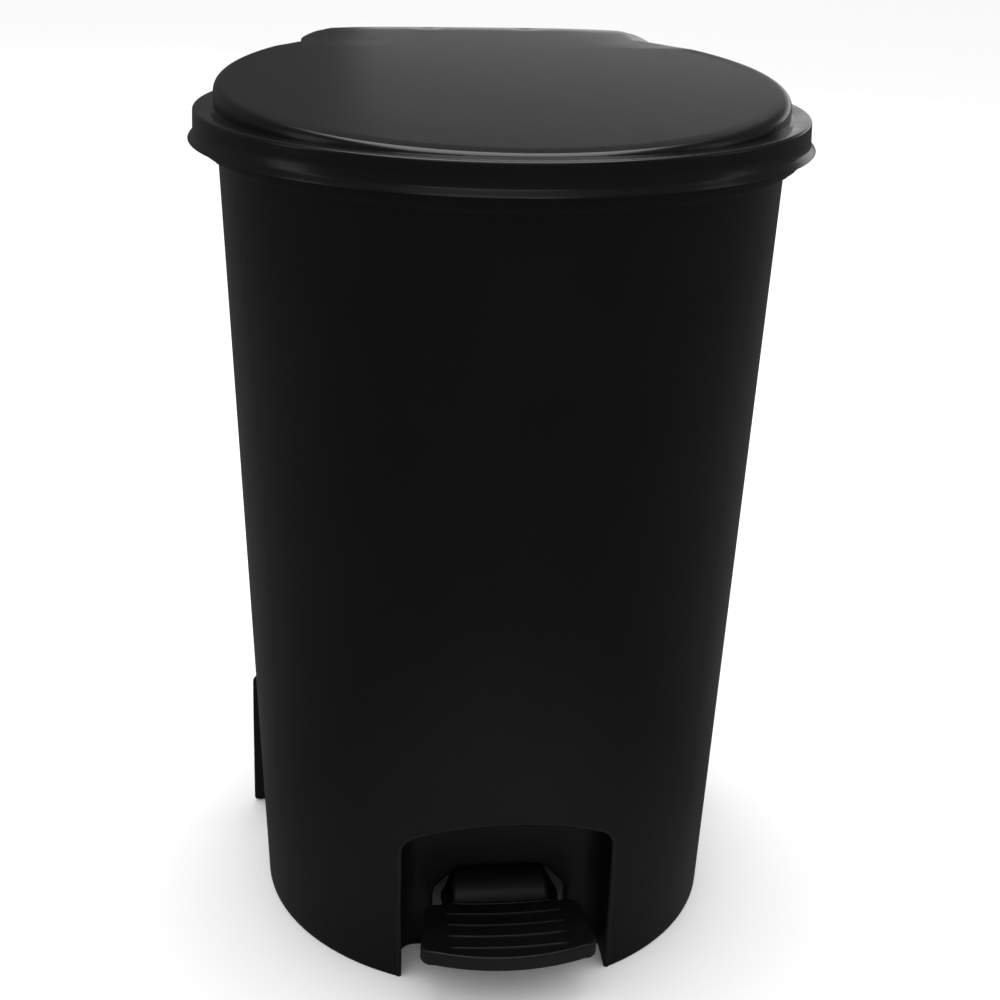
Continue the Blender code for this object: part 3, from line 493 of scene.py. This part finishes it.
def fray_collar(body):
    """A slightly ragged moulding flash along the collar's lower edge."""
    foot = RIM_TOP - COLLAR_HEIGHT
    for vert in body.data.vertices:
        spread = math.hypot(vert.co.x, vert.co.y - AXIS_Y)
        if abs(vert.co.z - foot) < 0.0007 and spread > COLLAR_RADIUS - 0.0015:
            angle = math.atan2(vert.co.x, vert.co.y)
            rough = noise.noise((angle * 60, 0, 0)) + 0.6 * noise.noise((angle * 23, 5, 0))
            vert.co.z += FLASH_HEIGHT * rough


def make_recess():
    """The pocket behind the arch: a rounded return, side walls, round corners and a rolled window edge."""
    def wall_y(x, z):
        return AXIS_Y - math.sqrt(wall_radius(max(z, 0)) ** 2 - x ** 2)

    back_y = AXIS_Y + RECESS_BACK - 0.002
    path = arch_path(0.0)
    rings = []
    for step in range(9):
        turn = math.radians(90 * step / 8)
        grow = ARCH_RETURN * (1 - math.sin(turn))
        deep = ARCH_RETURN * (1 - math.cos(turn))
        rings.append([(x + grow * ox, wall_y(x + grow * ox, z + grow * oz) + deep, z + grow * oz)
                      for x, z, ox, oz in path])
    edge = rings[-1]
    for step in range(1, 13):
        share = step / 12
        rings.append([(x, y + (back_y - RECESS_CORNER - y) * share, z) for x, y, z in edge])
    for step in range(1, 11):
        turn = math.radians(90 * step / 10)
        grow = -RECESS_CORNER * (1 - math.cos(turn))
        y = back_y - RECESS_CORNER * (1 - math.sin(turn))
        rings.append([(x + grow * ox, y, z + grow * oz) for x, z, ox, oz in path])
    inner = rings[-1]
    window = window_path(len(path))
    for step in range(1, 13):
        share = step / 12
        rings.append([(a[0] + (b[0] - a[0]) * share, back_y, a[2] + (b[1] - a[2]) * share)
                      for a, b in zip(inner, window)])
    for step in range(1, 7):
        turn = math.radians(90 * step / 6)
        y = back_y + WINDOW_ROLL * (1 - math.cos(turn))
        shrink = WINDOW_ROLL * math.sin(turn)
        rings.append([(x - shrink * ox, y, z - shrink * oz) for x, z, ox, oz in window])
    # The pocket takes the pedal's lighter plastic: painted light in the shaded pocket.
    sheet = loft("pedal_recess_pocket", rings, PEDAL_PLASTIC_PAINTED_LIGHTER, capped=False, closed=False)
    thick = sheet.modifiers.new("sheet", "SOLIDIFY")
    thick.thickness = RECESS_SHEET
    thick.offset = -1.0
    return fit(smooth(sheet), "body", "body_plastic", "pedal_recess")


def window_path(count):
    """The window from right foot to left foot as (x, z, outward x, outward z), grown by its rolled edge."""
    low = WINDOW_HALF_BOTTOM + WINDOW_ROLL
    high = WINDOW_HALF_TOP + WINDOW_ROLL
    top = WINDOW_TOP + WINDOW_ROLL
    corners = [(low, 0.0), (low, 0.036)]
    corners += arc((low - 0.016, 0.040), 0.016, 8, 42, 6)
    corners += arc((high - 0.012, top - 0.012), 0.012, 42, 90, 6)
    half = resample(corners + [(0, top)], (count + 1) // 2)
    path = []
    for index, (x, z) in enumerate(half):
        ahead = half[min(index + 1, len(half) - 1)]
        behind = half[max(index - 1, 0)]
        along = Vector((ahead[0] - behind[0], ahead[1] - behind[1])).normalized()
        path.append((x, z, along.y, -along.x))
    path[-1] = (0.0, top, 0.0, 1.0)
    return path + [(-x, z, -ox, oz) for x, z, ox, oz in reversed(path[:-1])]


def resample(points, count):
    """Spreads count points evenly along a line of points."""
    lengths = [0.0]
    for a, b in zip(points, points[1:]):
        lengths.append(lengths[-1] + math.dist(a, b))
    wanted = np.linspace(0, lengths[-1], count)
    return list(zip(np.interp(wanted, lengths, [p[0] for p in points]),
                    np.interp(wanted, lengths, [p[1] for p in points])))


# ---- Lid ----

def seat_lid(piece):
    """Turns a lid piece from its level frame (hinge at the origin) to where the lid rests."""
    turn = Matrix.Rotation(-LID_AJAR, 4, "X")
    piece.data.transform(Matrix.Translation(HINGE) @ turn)
    return piece


def lid_to_hinge(piece):
    piece.data.transform(Matrix.Translation((0, -HINGE_FROM_AXIS, -HINGE_ABOVE_LIP)))
    return piece


def raised_outline(inset):
    """The raised disc: a circle whose rear runs through a small fillet into a neck over the hinge."""
    rear = HINGE_FROM_AXIS + BLOCK_BEHIND_HINGE - inset
    radius = DISC_RADIUS - inset
    fillet = NECK_FILLET + inset
    side_x = NECK_HALF - inset
    fillet_x = side_x + fillet
    reach = radius + fillet
    fillet_y = math.sqrt(reach ** 2 - fillet_x ** 2)
    join = math.degrees(math.atan2(fillet_y, fillet_x))
    front = arc((0, 0), radius, -90, join, 149)
    front += arc((fillet_x, fillet_y), fillet, join - 180, -180, 8)[1:]
    corner = NECK_CORNER - inset
    tail_x = side_x - 0.0015
    tail = arc((tail_x - corner, rear - corner), corner, 2, 90, 9)
    rear_edge = [(tail[-1][0] * (1 - k / 24), rear) for k in range(1, 25)]
    return mirrored(front + between(front[-1], tail[0], 14) + tail + rear_edge)


def disc_height(x, y, level):
    """The roof: a plane that rises to the rear and rolls over there, with low corners and two sink marks."""
    height = level + DISC_SLOPE * y - max(0.0, y - ROLL_START_Y) ** 2 / (2 * ROLL_RADIUS)
    rearward = min(1.0, max(0.0, (y - 0.11) / 0.08))
    height -= ROOF_CORNER_DROP * rearward * (abs(x) / NECK_HALF) ** 4
    for side in (-1, 1):
        gap = math.hypot((x - side * DIMPLE_X) / 1.8, y - DIMPLE_Y)
        height -= DIMPLE_DEPTH * math.exp(-(gap / DIMPLE_RADIUS) ** 2)
    return height


def block_shoulders(name, inset, foot):
    """The hinge block below the neck: a little wider, with sides that slope away and a rounded rear."""
    rear = HINGE_FROM_AXIS + BLOCK_BEHIND_HINGE - 0.0006 - inset
    corner = BLOCK_CORNER - inset
    fall = ((0.0, 0.0), (0.3, 0.0011), (0.6, 0.0029), (0.86, 0.0050), (0.97, 0.0064), (1.0, 0.0090))
    start = NECK_HALF - 0.003
    sections = [(y, 0.0) for y in np.linspace(BLOCK_FRONT_Y + inset, rear - corner, 24)]
    for step in range(1, 9):
        turn = math.radians(90 * step / 8)
        sections.append((rear - corner + corner * math.sin(turn), corner * (1 - math.cos(turn))))
    rings = []
    for y, shrink in sections:
        top = disc_height(start, y, DISC_HEIGHT) - 0.0010 - inset - shrink
        right = [(start + (BLOCK_HALF - start) * across - inset - shrink, top - drop)
                 for across, drop in fall]
        right.append((BLOCK_HALF - inset - shrink, foot))
        outline = right + [(-x, z) for x, z in reversed(right)]
        rings.append([(x, y, z) for x, z in outline])
    return loft(name, rings)


def raised_solid(name, inset, foot, edge_radius, level, rings_inside=46):
    """The raised disc and neck from foot up to their roof, with a rounded upper edge."""
    outline = raised_outline(inset)
    normals = edge_normals(outline)
    rings = [[(x, y, foot) for x, y in outline]]
    for share in (0.25, 0.5, 0.75):
        rings.append([(x, y, foot + (disc_height(x, y, level) - edge_radius - foot) * share)
                      for x, y in outline])
    for step in range(9):
        turn = math.radians(90 * step / 8)
        shrink = edge_radius * (1 - math.cos(turn))
        fall = edge_radius * (1 - math.sin(turn))
        rings.append([(x - shrink * nx, y - shrink * ny, disc_height(x, y, level) - fall)
                      for (x, y), (nx, ny) in zip(outline, normals)])
    last = [(x, y) for x, y, _ in rings[-1]]
    middle = (0.0, 0.020)
    for step in range(1, rings_inside):
        share = 1 - step / rings_inside
        ring = [(middle[0] + (x - middle[0]) * share, middle[1] + (y - middle[1]) * share) for x, y in last]
        rings.append([(x, y, disc_height(x, y, level)) for x, y in ring])
    return loft(name, rings)


def round_lid_profile(inset, foot):
    """The turned part of the lid, as (radius, height above the lip plane), from the axis out and down."""
    flange = FLANGE_HEIGHT - inset
    skirt = SKIRT_RADIUS - inset
    lip = LIP_RADIUS - inset
    shoulder = max(0.0018 - inset, 0.0004)
    profile = [(0, flange), (0.14, flange)]
    if not inset:
        profile += [(DISC_RADIUS - 0.002, flange), (DISC_RADIUS + 0.0004, flange - 0.0004)]
        profile += [(DISC_RADIUS + 0.0016, flange - 0.0006), (DISC_RADIUS + 0.0028, flange - 0.0004)]
        profile += [(DISC_RADIUS + 0.0040, flange)]
    profile += arc((skirt - 0.0006 - shoulder, flange - shoulder), shoulder, 90, 0, 8)
    profile += [(skirt - 0.0004, 0.012), (skirt - 0.0002, LIP_HEIGHT - 0.0004)]
    profile += [(skirt + 0.0001, LIP_HEIGHT - 0.0009), (skirt + 0.0006, LIP_HEIGHT - 0.0016)]
    profile += [(skirt + 0.0018, LIP_HEIGHT - 0.0032)]
    profile += [(lip - 0.0003, 0.0007), (lip, 0.0001)]
    if inset:
        return profile + [(lip, foot), (0, foot)]
    return profile + [(lip - 0.0003, foot), (0, foot)]


def roof_at(y):
    """The underside of the lid's roof in the hinge frame, y from the hinge, with a little to bite into."""
    return disc_height(HINGE_X, y + HINGE_FROM_AXIS, DISC_HEIGHT) - LID_WALL - HINGE_ABOVE_LIP + 0.0006


def make_lid():
    """The lid: a turned plate with its raised disc and hinge block, hollow below, with ears and cranks."""
    lid = lid_to_hinge(lathe("bin_lid", round_lid_profile(0, 0), 0.0, LID_PLASTIC))
    raised = raised_solid("raised", 0, 0.0004, DISC_EDGE, DISC_HEIGHT)
    combine(raised, block_shoulders("shoulders", 0, 0.0009), "UNION")
    combine(lid, lid_to_hinge(raised), "UNION")
    combine(lid, lid_to_hinge(lathe("round_hollow", round_lid_profile(LID_WALL, -0.01), 0.0)))
    hollow = raised_solid("raised_hollow", LID_WALL, -0.011, DISC_EDGE - LID_WALL, DISC_HEIGHT - LID_WALL,
                          rings_inside=12)
    combine(lid, lid_to_hinge(hollow))
    combine(lid, lid_to_hinge(block_shoulders("shoulder_hollow", LID_WALL, -0.012)))
    gap_top = BLOCK_REAR_CLEAR - HINGE_ABOVE_LIP
    combine(lid, box_solid("rear_gap", (-0.2, 0.0020, -0.03), (0.2, 0.03, gap_top)))
    ear = [(-0.010, roof_at(-0.010))] + arc((0, 0), EAR_RADIUS, 190, 350, 24) + [(0.0042, roof_at(0.0042))]
    for side in (-1, 1):
        for x in (HINGE_X - EAR_OFFSET, HINGE_X + EAR_OFFSET):
            combine(lid, prism("ear", ear, (side * x, 0, 0), 0.003, "x"), "UNION")
    pin_y = -CRANK_RADIUS * math.cos(CRANK_START + LID_AJAR)
    pin_z = -CRANK_RADIUS * math.sin(CRANK_START + LID_AJAR)
    crank = [(-0.026, roof_at(-0.026))] + arc((pin_y, pin_z), EAR_RADIUS, 185, 350, 24)
    crank.append((-0.004, roof_at(-0.004)))
    for side in (-1, 1):
        combine(lid, prism("crank", crank, (side * EAR_OFFSET, 0, 0), 0.002, "x"), "UNION")
    for side in (-1, 1):
        combine(lid, bar("ear_bore", 0.0035, (side * 0.045, 0, 0), (side * 0.08, 0, 0)))
    combine(lid, bar("crank_bore", 0.0033, (-0.02, pin_y, pin_z), (0.02, pin_y, pin_z)))
    seat_lid(lid)
    smooth(lid)
    return fit(lid, "lid", "lid_plastic", "lid_shell")


# ---- Pedal ----

def tread_outline():
    """The foot plate from above: a bowed front, round corners and sides that close in to the rear."""
    rear = TREAD_HIGH.y
    radius = (TREAD_HALF_FRONT ** 2 + TREAD_BOW ** 2) / (2 * TREAD_BOW)
    reach = TREAD_HALF_FRONT - TREAD_CORNER
    front = [(x, TREAD_FRONT + radius - math.sqrt(radius ** 2 - x ** 2)) for x in np.linspace(0, reach, 60)]
    turn_y = front[-1][1] + TREAD_CORNER * 0.98
    front += arc((reach, turn_y), TREAD_CORNER, -68, 3, 14)
    tail_middle = (TREAD_HALF_REAR - TREAD_REAR_CORNER, rear - TREAD_REAR_CORNER)
    tail = arc(tail_middle, TREAD_REAR_CORNER, 4, 90, 14)
    rear_edge = [(tail[-1][0] * (1 - k / 30), rear) for k in range(1, 31)]
    return mirrored(front + between(front[-1], tail[0], 30) + tail + rear_edge)


def make_tread():
    """The foot plate: a rounded shell with five raised ribs bowed like its front edge."""
    outline = tread_outline()
    low = TREAD_LOW.z
    normals = edge_normals(outline)
    rings = [[(x - 0.0004 * nx, y - 0.0004 * ny, low) for (x, y), (nx, ny) in zip(outline, normals)]]
    rings.append([(x, y, low + 0.0006) for x, y in outline])
    for step in range(8):
        turn = math.radians(90 * step / 7)
        shrink = TREAD_EDGE * (1 - math.cos(turn))
        fall = TREAD_EDGE * (1 - math.sin(turn))
        rings.append([(x - shrink * nx, y - shrink * ny, TREAD_TOP - fall)
                      for (x, y), (nx, ny) in zip(outline, normals)])
    last = [(x, y) for x, y, _ in rings[-1]]
    middle = (0.0, (TREAD_FRONT + TREAD_HIGH.y) / 2)
    for step in range(1, 12):
        share = 1 - step / 12
        rings.append([(x * share, middle[1] + (y - middle[1]) * share, TREAD_TOP) for x, y in last])
    tread = loft("pedal_tread", rings, PEDAL_PLASTIC_PAINTED_LIGHTER)
    inner = [(x - TREAD_SHEET * nx, y - TREAD_SHEET * ny) for (x, y), (nx, ny) in zip(outline, normals)]
    under = TREAD_TOP - TREAD_SHEET
    combine(tread, prism("tread_hollow", inner, (0, 0, low - 0.0015), under - low + 0.0015, "z"))
    neck_low = (-0.0362, TREAD_HIGH.y - 0.006, low - 0.02)
    combine(tread, box_solid("neck_notch", neck_low, (0.0362, TREAD_HIGH.y + 0.006, under)))
    for number in range(TREAD_RIBS):
        combine(tread, tread_rib(number), "UNION")
    smooth(tread)
    return fit(tread, "pedal", "pedal_plastic", "pedal_plate")


def tread_rib(number):
    """A half-round bead along a bow, with tapered ends. The rearmost is shorter and lower."""
    rearmost = number == TREAD_RIBS - 1
    front_y = TREAD_FRONT + 0.0105 + RIB_PITCH * number
    reach = 0.036 if rearmost else 0.0415
    high = 0.0006 if rearmost else 0.0012
    rings = []
    for step in range(41):
        x = -reach + 2 * reach * step / 40
        middle_y = front_y + 0.0010 + 1.76 * x ** 2
        swell = math.sqrt(max(0.0, 1 - (abs(x) / reach) ** 12)) * 0.98 + 0.02
        wide = RIB_WIDTH * swell
        tall = high * swell + 0.0004
        rings.append([(x, middle_y + wide * math.cos(a), TREAD_TOP - 0.0004 + tall * math.sin(a))
                      for a in np.linspace(0, 2 * math.pi, 17)[:-1]])
    return loft("rib", rings)


def lever_section(y, top_half, low_half, top, depth):
    """A channel section, open below: a plate whose side flanges lean out, with rounded shoulders."""
    shoulder = LEVER_SHOULDER
    outer = [(low_half, top - depth)]
    outer += arc((top_half - shoulder, top - shoulder), shoulder, 8, 90, 7)
    inner_shoulder = 0.0008
    inset = LEVER_SHEET + inner_shoulder
    inner = [(low_half - LEVER_SHEET, top - depth)]
    inner += arc((top_half - inset, top - inset), inner_shoulder, 8, 90, 7)
    right = outer + [(-x, z) for x, z in reversed(outer)]
    under = [(-x, z) for x, z in inner] + list(reversed(inner))
    return [(x, y + AXIS_Y, z) for x, z in right + under]


def make_lever():
    """The pedal's lever: from under the tread it steps up through the window and runs back to its nose."""
    nose_y = ROD_Y - AXIS_Y - 0.0040
    stations = [
        (-0.166, 0.0340, 0.0340, 0.0380, 0.0045),
        (-0.128, 0.0345, 0.0345, 0.0380, 0.0045),
        (-0.122, 0.0345, 0.0380, 0.0400, 0.0065),
        (-0.116, 0.0340, 0.0405, 0.0460, 0.0100),
        (-0.110, 0.0335, 0.0415, 0.0520, 0.0130),
        (-0.104, 0.0330, 0.0410, 0.0548, 0.0150),
        (-0.096, 0.0325, 0.0370, 0.0556, 0.0160),
        (-0.060, 0.0280, 0.0280, 0.0560, 0.0180),
        (-0.020, 0.0230, 0.0230, 0.0560, 0.0200),
        (0.030, 0.0220, 0.0220, 0.0560, 0.0200),
        (0.120, 0.0150, 0.0150, 0.0530, 0.0150),
        (nose_y, 0.0120, 0.0120, 0.0485, 0.0080),
    ]
    lever = loft("lever", [lever_section(*station) for station in stations], PEDAL_PLASTIC_PAINTED_LIGHTER)
    nose = bar("nose", 0.005, (-0.0127, ROD_Y, PIVOT.z), (0.0127, ROD_Y, PIVOT.z))
    combine(lever, nose, "UNION")
    rib = box_solid("lever_rib", (-0.0012, AXIS_Y - 0.1035, 0.042), (0.0012, AXIS_Y - 0.022, 0.0545))
    combine(lever, rib, "UNION")
    combine(lever, bar("axle_bore", 0.0044, (-0.03, PIVOT.y, PIVOT.z), (0.03, PIVOT.y, PIVOT.z)))
    for side in (-1, 1):
        x = side * PEDAL_SCREW_X
        combine(lever, bar("screw_hole", SCREW_HOLE, (x, PEDAL_SCREW_Y, 0.02), (x, PEDAL_SCREW_Y, PIVOT.z)))
    smooth(lever)
    return fit(lever, "pedal", "pedal_plastic", "pedal_lever")


# ---- Rear guard and rod channel ----

def body_cone(name, low, high):
    """The body's outer wall with a working gap, as a cutter."""
    profile = [(0, low), (wall_radius(low) + GAP, low), (wall_radius(high) + GAP, high), (0, high)]
    return lathe(name, profile, AXIS_Y)


def guard_outline(inset):
    """A circle's rear part closed by a straight front, with rounded ends."""
    radius = GUARD_RADIUS - inset
    front = GUARD_LOW.y + inset
    corner = max(GUARD_CORNER - inset, 0.0008)
    rise = front + corner - GUARD_CENTRE_Y
    side_x = math.sqrt((radius - corner) ** 2 - rise ** 2)
    turn = math.degrees(math.atan2(rise, side_x))
    right = [(side_x * k / 30, front) for k in range(30)]
    right += arc((side_x, front + corner), corner, -90, turn, 12)
    right += arc((0, GUARD_CENTRE_Y), radius, turn, 90, 90)[1:]
    return mirrored(right)


def guard_solid(name, inset, low, high, material=None):
    """The guard's outside, or its hollow when inset: narrower upwards, and rounded at its top and foot."""
    sections = []
    for step in range(5):
        turn = math.radians(90 * step / 4)
        sections.append((low + GUARD_FOOT * (1 - math.cos(turn)), GUARD_FOOT * (1 - math.sin(turn))))
    straight = high - GUARD_EDGE - low - GUARD_FOOT
    for step in range(1, 11):
        share = step / 10
        sections.append((low + GUARD_FOOT + straight * share, GUARD_DRAFT * share))
    for step in range(1, 9):
        turn = math.radians(90 * step / 8)
        shrink = GUARD_EDGE * (1 - math.cos(turn))
        sections.append((high - GUARD_EDGE * (1 - math.sin(turn)), GUARD_DRAFT + shrink))
    rings = [[(x, y, z) for x, y in guard_outline(inset + extra)] for z, extra in sections]
    return loft(name, rings, material)


def guard_point(side, distance):
    """A point on the line of a guard screw, at a distance from the body's axis."""
    across = distance * math.cos(GUARD_SCREW_ANGLE)
    return (side * across, AXIS_Y + distance * math.sin(GUARD_SCREW_ANGLE), GUARD_SCREW_Z)


def make_guard():
    """The wide foot behind the body, with its screw bosses and the hole for the push rod."""
    top = GUARD_HIGH.z
    guard = guard_solid("rear_foot_guard", 0, 0, top, FITTING_PLASTIC)
    combine(guard, guard_solid("guard_hollow", WALL, -0.010, top - WALL))
    for side in (-1, 1):
        boss = bar("guard_boss", 2 * WALL, guard_point(side, 0.150), guard_point(side, 0.1965))
        combine(guard, boss, "UNION")
    combine(guard, body_cone("guard_trim", -0.02, 0.13))
    for side in (-1, 1):
        combine(guard, bar("boss_hole", SCREW_HOLE, guard_point(side, 0.150), guard_point(side, 0.188)))
    rod_hole = box_solid("rod_hole", (-0.012, ROD_Y - 0.0105, 0.10), (0.012, ROD_Y + 0.0045, 0.13))
    combine(guard, rod_hole)
    smooth(guard)
    return fit(guard, "body", "fitting_plastic", "rear_guard")


def channel_outline(inset):
    """The cover from above, reaching forward into the body so that the body's wall can trim it."""
    half = CHANNEL_HIGH.x - inset
    rear = CHANNEL_HIGH.y - inset
    corner = CHANNEL_CORNER - inset
    front = 0.15
    right = [(0.0, front), (half, front)] + between((half, front), (half, rear - corner), 6)
    right += arc((half - corner, rear - corner), corner, 0, 90, 10) + [(0.0, rear)]
    return mirrored(right)


def make_channel():
    """The cover over the push rod, with rounded corners and edges."""
    low, high = CHANNEL_LOW.z, CHANNEL_HIGH.z
    edge = 0.0014
    sections = [(low, 0.0008), (low + 0.0003, 0.0003), (low + 0.0009, 0.0)]
    sections += [(low + 0.001 + (high - low - 0.004) * k / 20, 0.0) for k in range(1, 20)]
    for step in range(7):
        turn = math.radians(90 * step / 6)
        sections.append((high - edge * (1 - math.sin(turn)), edge * (1 - math.cos(turn))))
    outer = [[(x, y, z) for x, y in channel_outline(inset)] for z, inset in sections]
    channel = loft("rod_cover", outer, FITTING_PLASTIC)
    inner = [[(x, y, z) for x, y in channel_outline(WALL)] for z in (low - 0.01, high + 0.01)]
    combine(channel, loft("cover_hollow", inner))
    combine(channel, body_cone("cover_trim", low - 0.02, high + 0.02))
    for height in GUIDE_HEIGHTS:
        inside = (0, CHANNEL_HIGH.y - 0.01, height)
        combine(channel, bar("cover_hole", SCREW_HOLE, inside, (0, CHANNEL_HIGH.y + 0.01, height)))
    smooth(channel)
    return fit(channel, "body", "fitting_plastic", "rod_channel")


# ---- Hinge brackets and rod ends ----

def make_brackets():
    """The two gussets that hold the hinge pins, with softened edges."""
    gusset = ((0.200, BRACKET_SCREW_Z), (0.190, 0.496), (0.15, 0.492), (0.15, 0.5385), (0.186, 0.5425))
    outline = arc((HINGE.y, HINGE.z), 0.006, 150, -60, 24) + [(AXIS_Y + y, z) for y, z in gusset]
    for side, word in ((-1, "left"), (1, "right")):
        x = side * HINGE_X
        bracket = soften(prism("bracket_" + word, outline, (x, 0, 0), BRACKET_HALF, "x"), 0.0007)
        bracket.data.materials.append(FITTING_PLASTIC)
        combine(bracket, body_cone("bracket_trim", 0.45, 0.57))
        pin_bore = bar("pin_bore", 0.0034, (x - 0.01, HINGE.y, HINGE.z), (x + 0.01, HINGE.y, HINGE.z))
        combine(bracket, pin_bore)
        inside = (x, AXIS_Y + 0.15, BRACKET_SCREW_Z)
        combine(bracket, bar("screw_bore", SCREW_HOLE, inside, (x, AXIS_Y + 0.189, BRACKET_SCREW_Z)))
        fit(smooth(bracket), "body", "fitting_plastic", "hinge_bracket_" + word)


def make_rod_ends():
    """The rod's foot on the lever's nose, and its head with the slot round the crank pin."""
    low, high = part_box("rod_foot")
    foot = soften(box_solid("foot_block", low, high), 0.0012)
    foot.data.materials.append(FITTING_PLASTIC)
    combine(foot, bar("foot_socket", ROD_SOCKET, (0, ROD_Y, low.z + 0.006), (0, ROD_Y, high.z + 0.01)))
    fit(smooth(foot), "rod", "fitting_plastic", "rod_foot")
    low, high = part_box("rod_head")
    pin_z = high.z - EAR_RADIUS
    outline = [(low.y, low.z), (high.y, low.z)]
    outline += arc((high.y - HEAD_CORNER, high.z - HEAD_CORNER), HEAD_CORNER, 0, 90, 8)
    outline += arc((low.y + HEAD_CORNER, high.z - HEAD_CORNER), HEAD_CORNER, 90, 180, 8)
    head = soften(prism("head_block", outline, (0, 0, 0), high.x, "x"), 0.0007)
    head.data.materials.append(FITTING_PLASTIC)
    combine(head, bar("head_socket", ROD_SOCKET, (0, ROD_Y, low.z - 0.01), (0, ROD_Y, low.z + 0.009)))
    slot = arc((ROD_Y + SLOT_REACH, pin_z), SLOT_RADIUS, -90, 90, 14)
    slot += arc((ROD_Y - SLOT_REACH, pin_z), SLOT_RADIUS, 90, 270, 14)
    combine(head, prism("head_slot", slot, (0, 0, 0), 0.02, "x"))
    fit(smooth(head), "rod", "fitting_plastic", "rod_head")


# ---- Studio ----

CAMERA_DISTANCE = 1.194
CAMERA_HEIGHT = 0.8022
CAMERA_HEADING = math.radians(-6.508)
CAMERA_PITCH = math.radians(22.93)
CAMERA_ROLL = math.radians(1.633)
CAMERA_PAN = math.radians(0.2454)
CAMERA_LENS = 65.83
FLOOR_IN_MIRROR = 0.075
FLOOR_NEAR_IN_MIRROR = 0.17
ROOM_IN_MIRROR = 0.11


def make_camera():
    heading = CAMERA_HEADING
    pitch = CAMERA_PITCH
    place = Vector((math.sin(heading), -math.cos(heading), 0)) * CAMERA_DISTANCE
    place += Vector((0, AXIS_Y, CAMERA_HEIGHT))
    level = Vector((-math.sin(heading), math.cos(heading), 0))
    ahead = level * math.cos(pitch) - Vector((0, 0, math.sin(pitch)))
    right = Vector((math.cos(heading), math.sin(heading), 0))
    ahead = (ahead * math.cos(CAMERA_PAN) + right * math.sin(CAMERA_PAN)).normalized()
    right = ahead.cross(Vector((0, 0, 1))).normalized()
    up = right.cross(ahead)
    rolled_right = right * math.cos(CAMERA_ROLL) + up * math.sin(CAMERA_ROLL)
    rolled_up = up * math.cos(CAMERA_ROLL) - right * math.sin(CAMERA_ROLL)
    camera = bpy.data.objects.new("camera", bpy.data.cameras.new("camera"))
    camera.data.lens = CAMERA_LENS
    camera.data.sensor_width = 36.0
    camera.matrix_world = Matrix((rolled_right, rolled_up, -ahead)).transposed().to_4x4()
    camera.location = place
    bpy.context.scene.collection.objects.link(camera)
    bpy.context.scene.camera = camera


def area_light(name, place, target, size, power, seen=True):
    light = bpy.data.lights.new(name, "AREA")
    light.shape = "RECTANGLE"
    light.size, light.size_y = size
    light.energy = power
    lamp = bpy.data.objects.new(name, light)
    lamp.location = place
    aim = Vector(target) - Vector(place)
    lamp.rotation_euler = aim.to_track_quat("-Z", "Y").to_euler()
    lamp.visible_camera = seen
    bpy.context.scene.collection.objects.link(lamp)


def glossy_switch(tree, seen, mirrored, socket):
    """Paints a stage colour darker only where the object mirrors it: painted shade in its reflections,
    standing in for black flags beside a table.
    """
    path = tree.nodes.new("ShaderNodeLightPath")
    choice = blend_colours(tree, path.outputs["Is Glossy Ray"], (seen,) * 3, (0, 0, 0))
    node = choice.node
    if isinstance(mirrored, float):
        node.inputs["B"].default_value = (mirrored, mirrored, mirrored, 1)
    else:
        tree.links.new(mirrored, node.inputs["B"])
    tree.links.new(choice, socket)


def mirrored_floor_painted_light(tree):
    """Painted light in reflections: the floor's grey as the object mirrors it is lighter just ahead of the
    object, a painted pool of light.
    """
    place = tree.nodes.new("ShaderNodeNewGeometry").outputs["Position"]
    gap = tree.nodes.new("ShaderNodeVectorMath")
    gap.operation = "DISTANCE"
    gap.inputs[1].default_value = (0, -0.30, 0)
    tree.links.new(place, gap.inputs[0])
    share = ranged(tree, gap.outputs["Value"], 0, 1, 0.10, 0.42)
    return blend_colours(tree, share, (FLOOR_NEAR_IN_MIRROR,) * 3, (FLOOR_IN_MIRROR,) * 3)


def make_studio():
    floor_material, tree, shader = shader_nodes("pale_floor")
    glossy_switch(tree, 0.94, mirrored_floor_painted_light(tree), shader.inputs["Base Color"])
    shader.inputs["Roughness"].default_value = 0.9
    shader.inputs["Specular IOR Level"].default_value = 0.0
    corners = [(-8, -6, 0), (8, -6, 0), (8, 12, 0), (-8, 12, 0)]
    floor = new_piece("floor", corners, [(0, 1, 2, 3)], floor_material)
    world = bpy.data.worlds.new("studio")
    world.use_nodes = True
    background = world.node_tree.nodes["Background"]
    # Painted shade in reflections: the world is white where seen and dark where the object mirrors it.
    glossy_switch(world.node_tree, 1.0, ROOM_IN_MIRROR, background.inputs["Color"])
    bpy.context.scene.world = world
    area_light("top_light", (0, 0.3, 2.2), (0, 0, 0.5), (1.6, 1.6), 26)
    area_light("front_light", (-0.3, -1.7, 2.3), (0, 0, 0.5), (2.0, 1.2), 4, False)
    area_light("back_light", (1.5, 3.0, 0.81), (0.2, 0, 0.6), (3.2, 0.82), 7.5, False)
    area_light("left_light", (-1.9, -0.2, 1.2), (0, 0, 0.4), (0.5, 1.4), 1.3, False)
    area_light("right_light", (1.9, -0.2, 1.3), (0, 0, 0.4), (0.5, 1.2), 0.7, False)
    bpy.context.scene.view_settings.view_transform = "Standard"


def dress_fittings():
    """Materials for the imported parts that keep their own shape."""
    finishes = {
        "pin_steel": PIN_STEEL,
        "screw_steel": SCREW_STEEL,
        "body_plastic": BODY_PLASTIC,
        "lid_plastic": LID_PLASTIC,
        "pedal_plastic": PEDAL_PLASTIC_PAINTED_LIGHTER,
        "fitting_plastic": FITTING_PLASTIC,
    }
    slots = {part["node"]: part["material_slot"] for part in frame["record"]["subparts"]}
    for name, node in frame["nodes"].items():
        node.data.materials.clear()
        node.data.materials.append(finishes[slots[name]])


dress_fittings()
make_camera()
make_studio()
make_body()
make_recess()
make_lid()
make_tread()
make_lever()
make_guard()
make_channel()
make_brackets()
make_rod_ends()
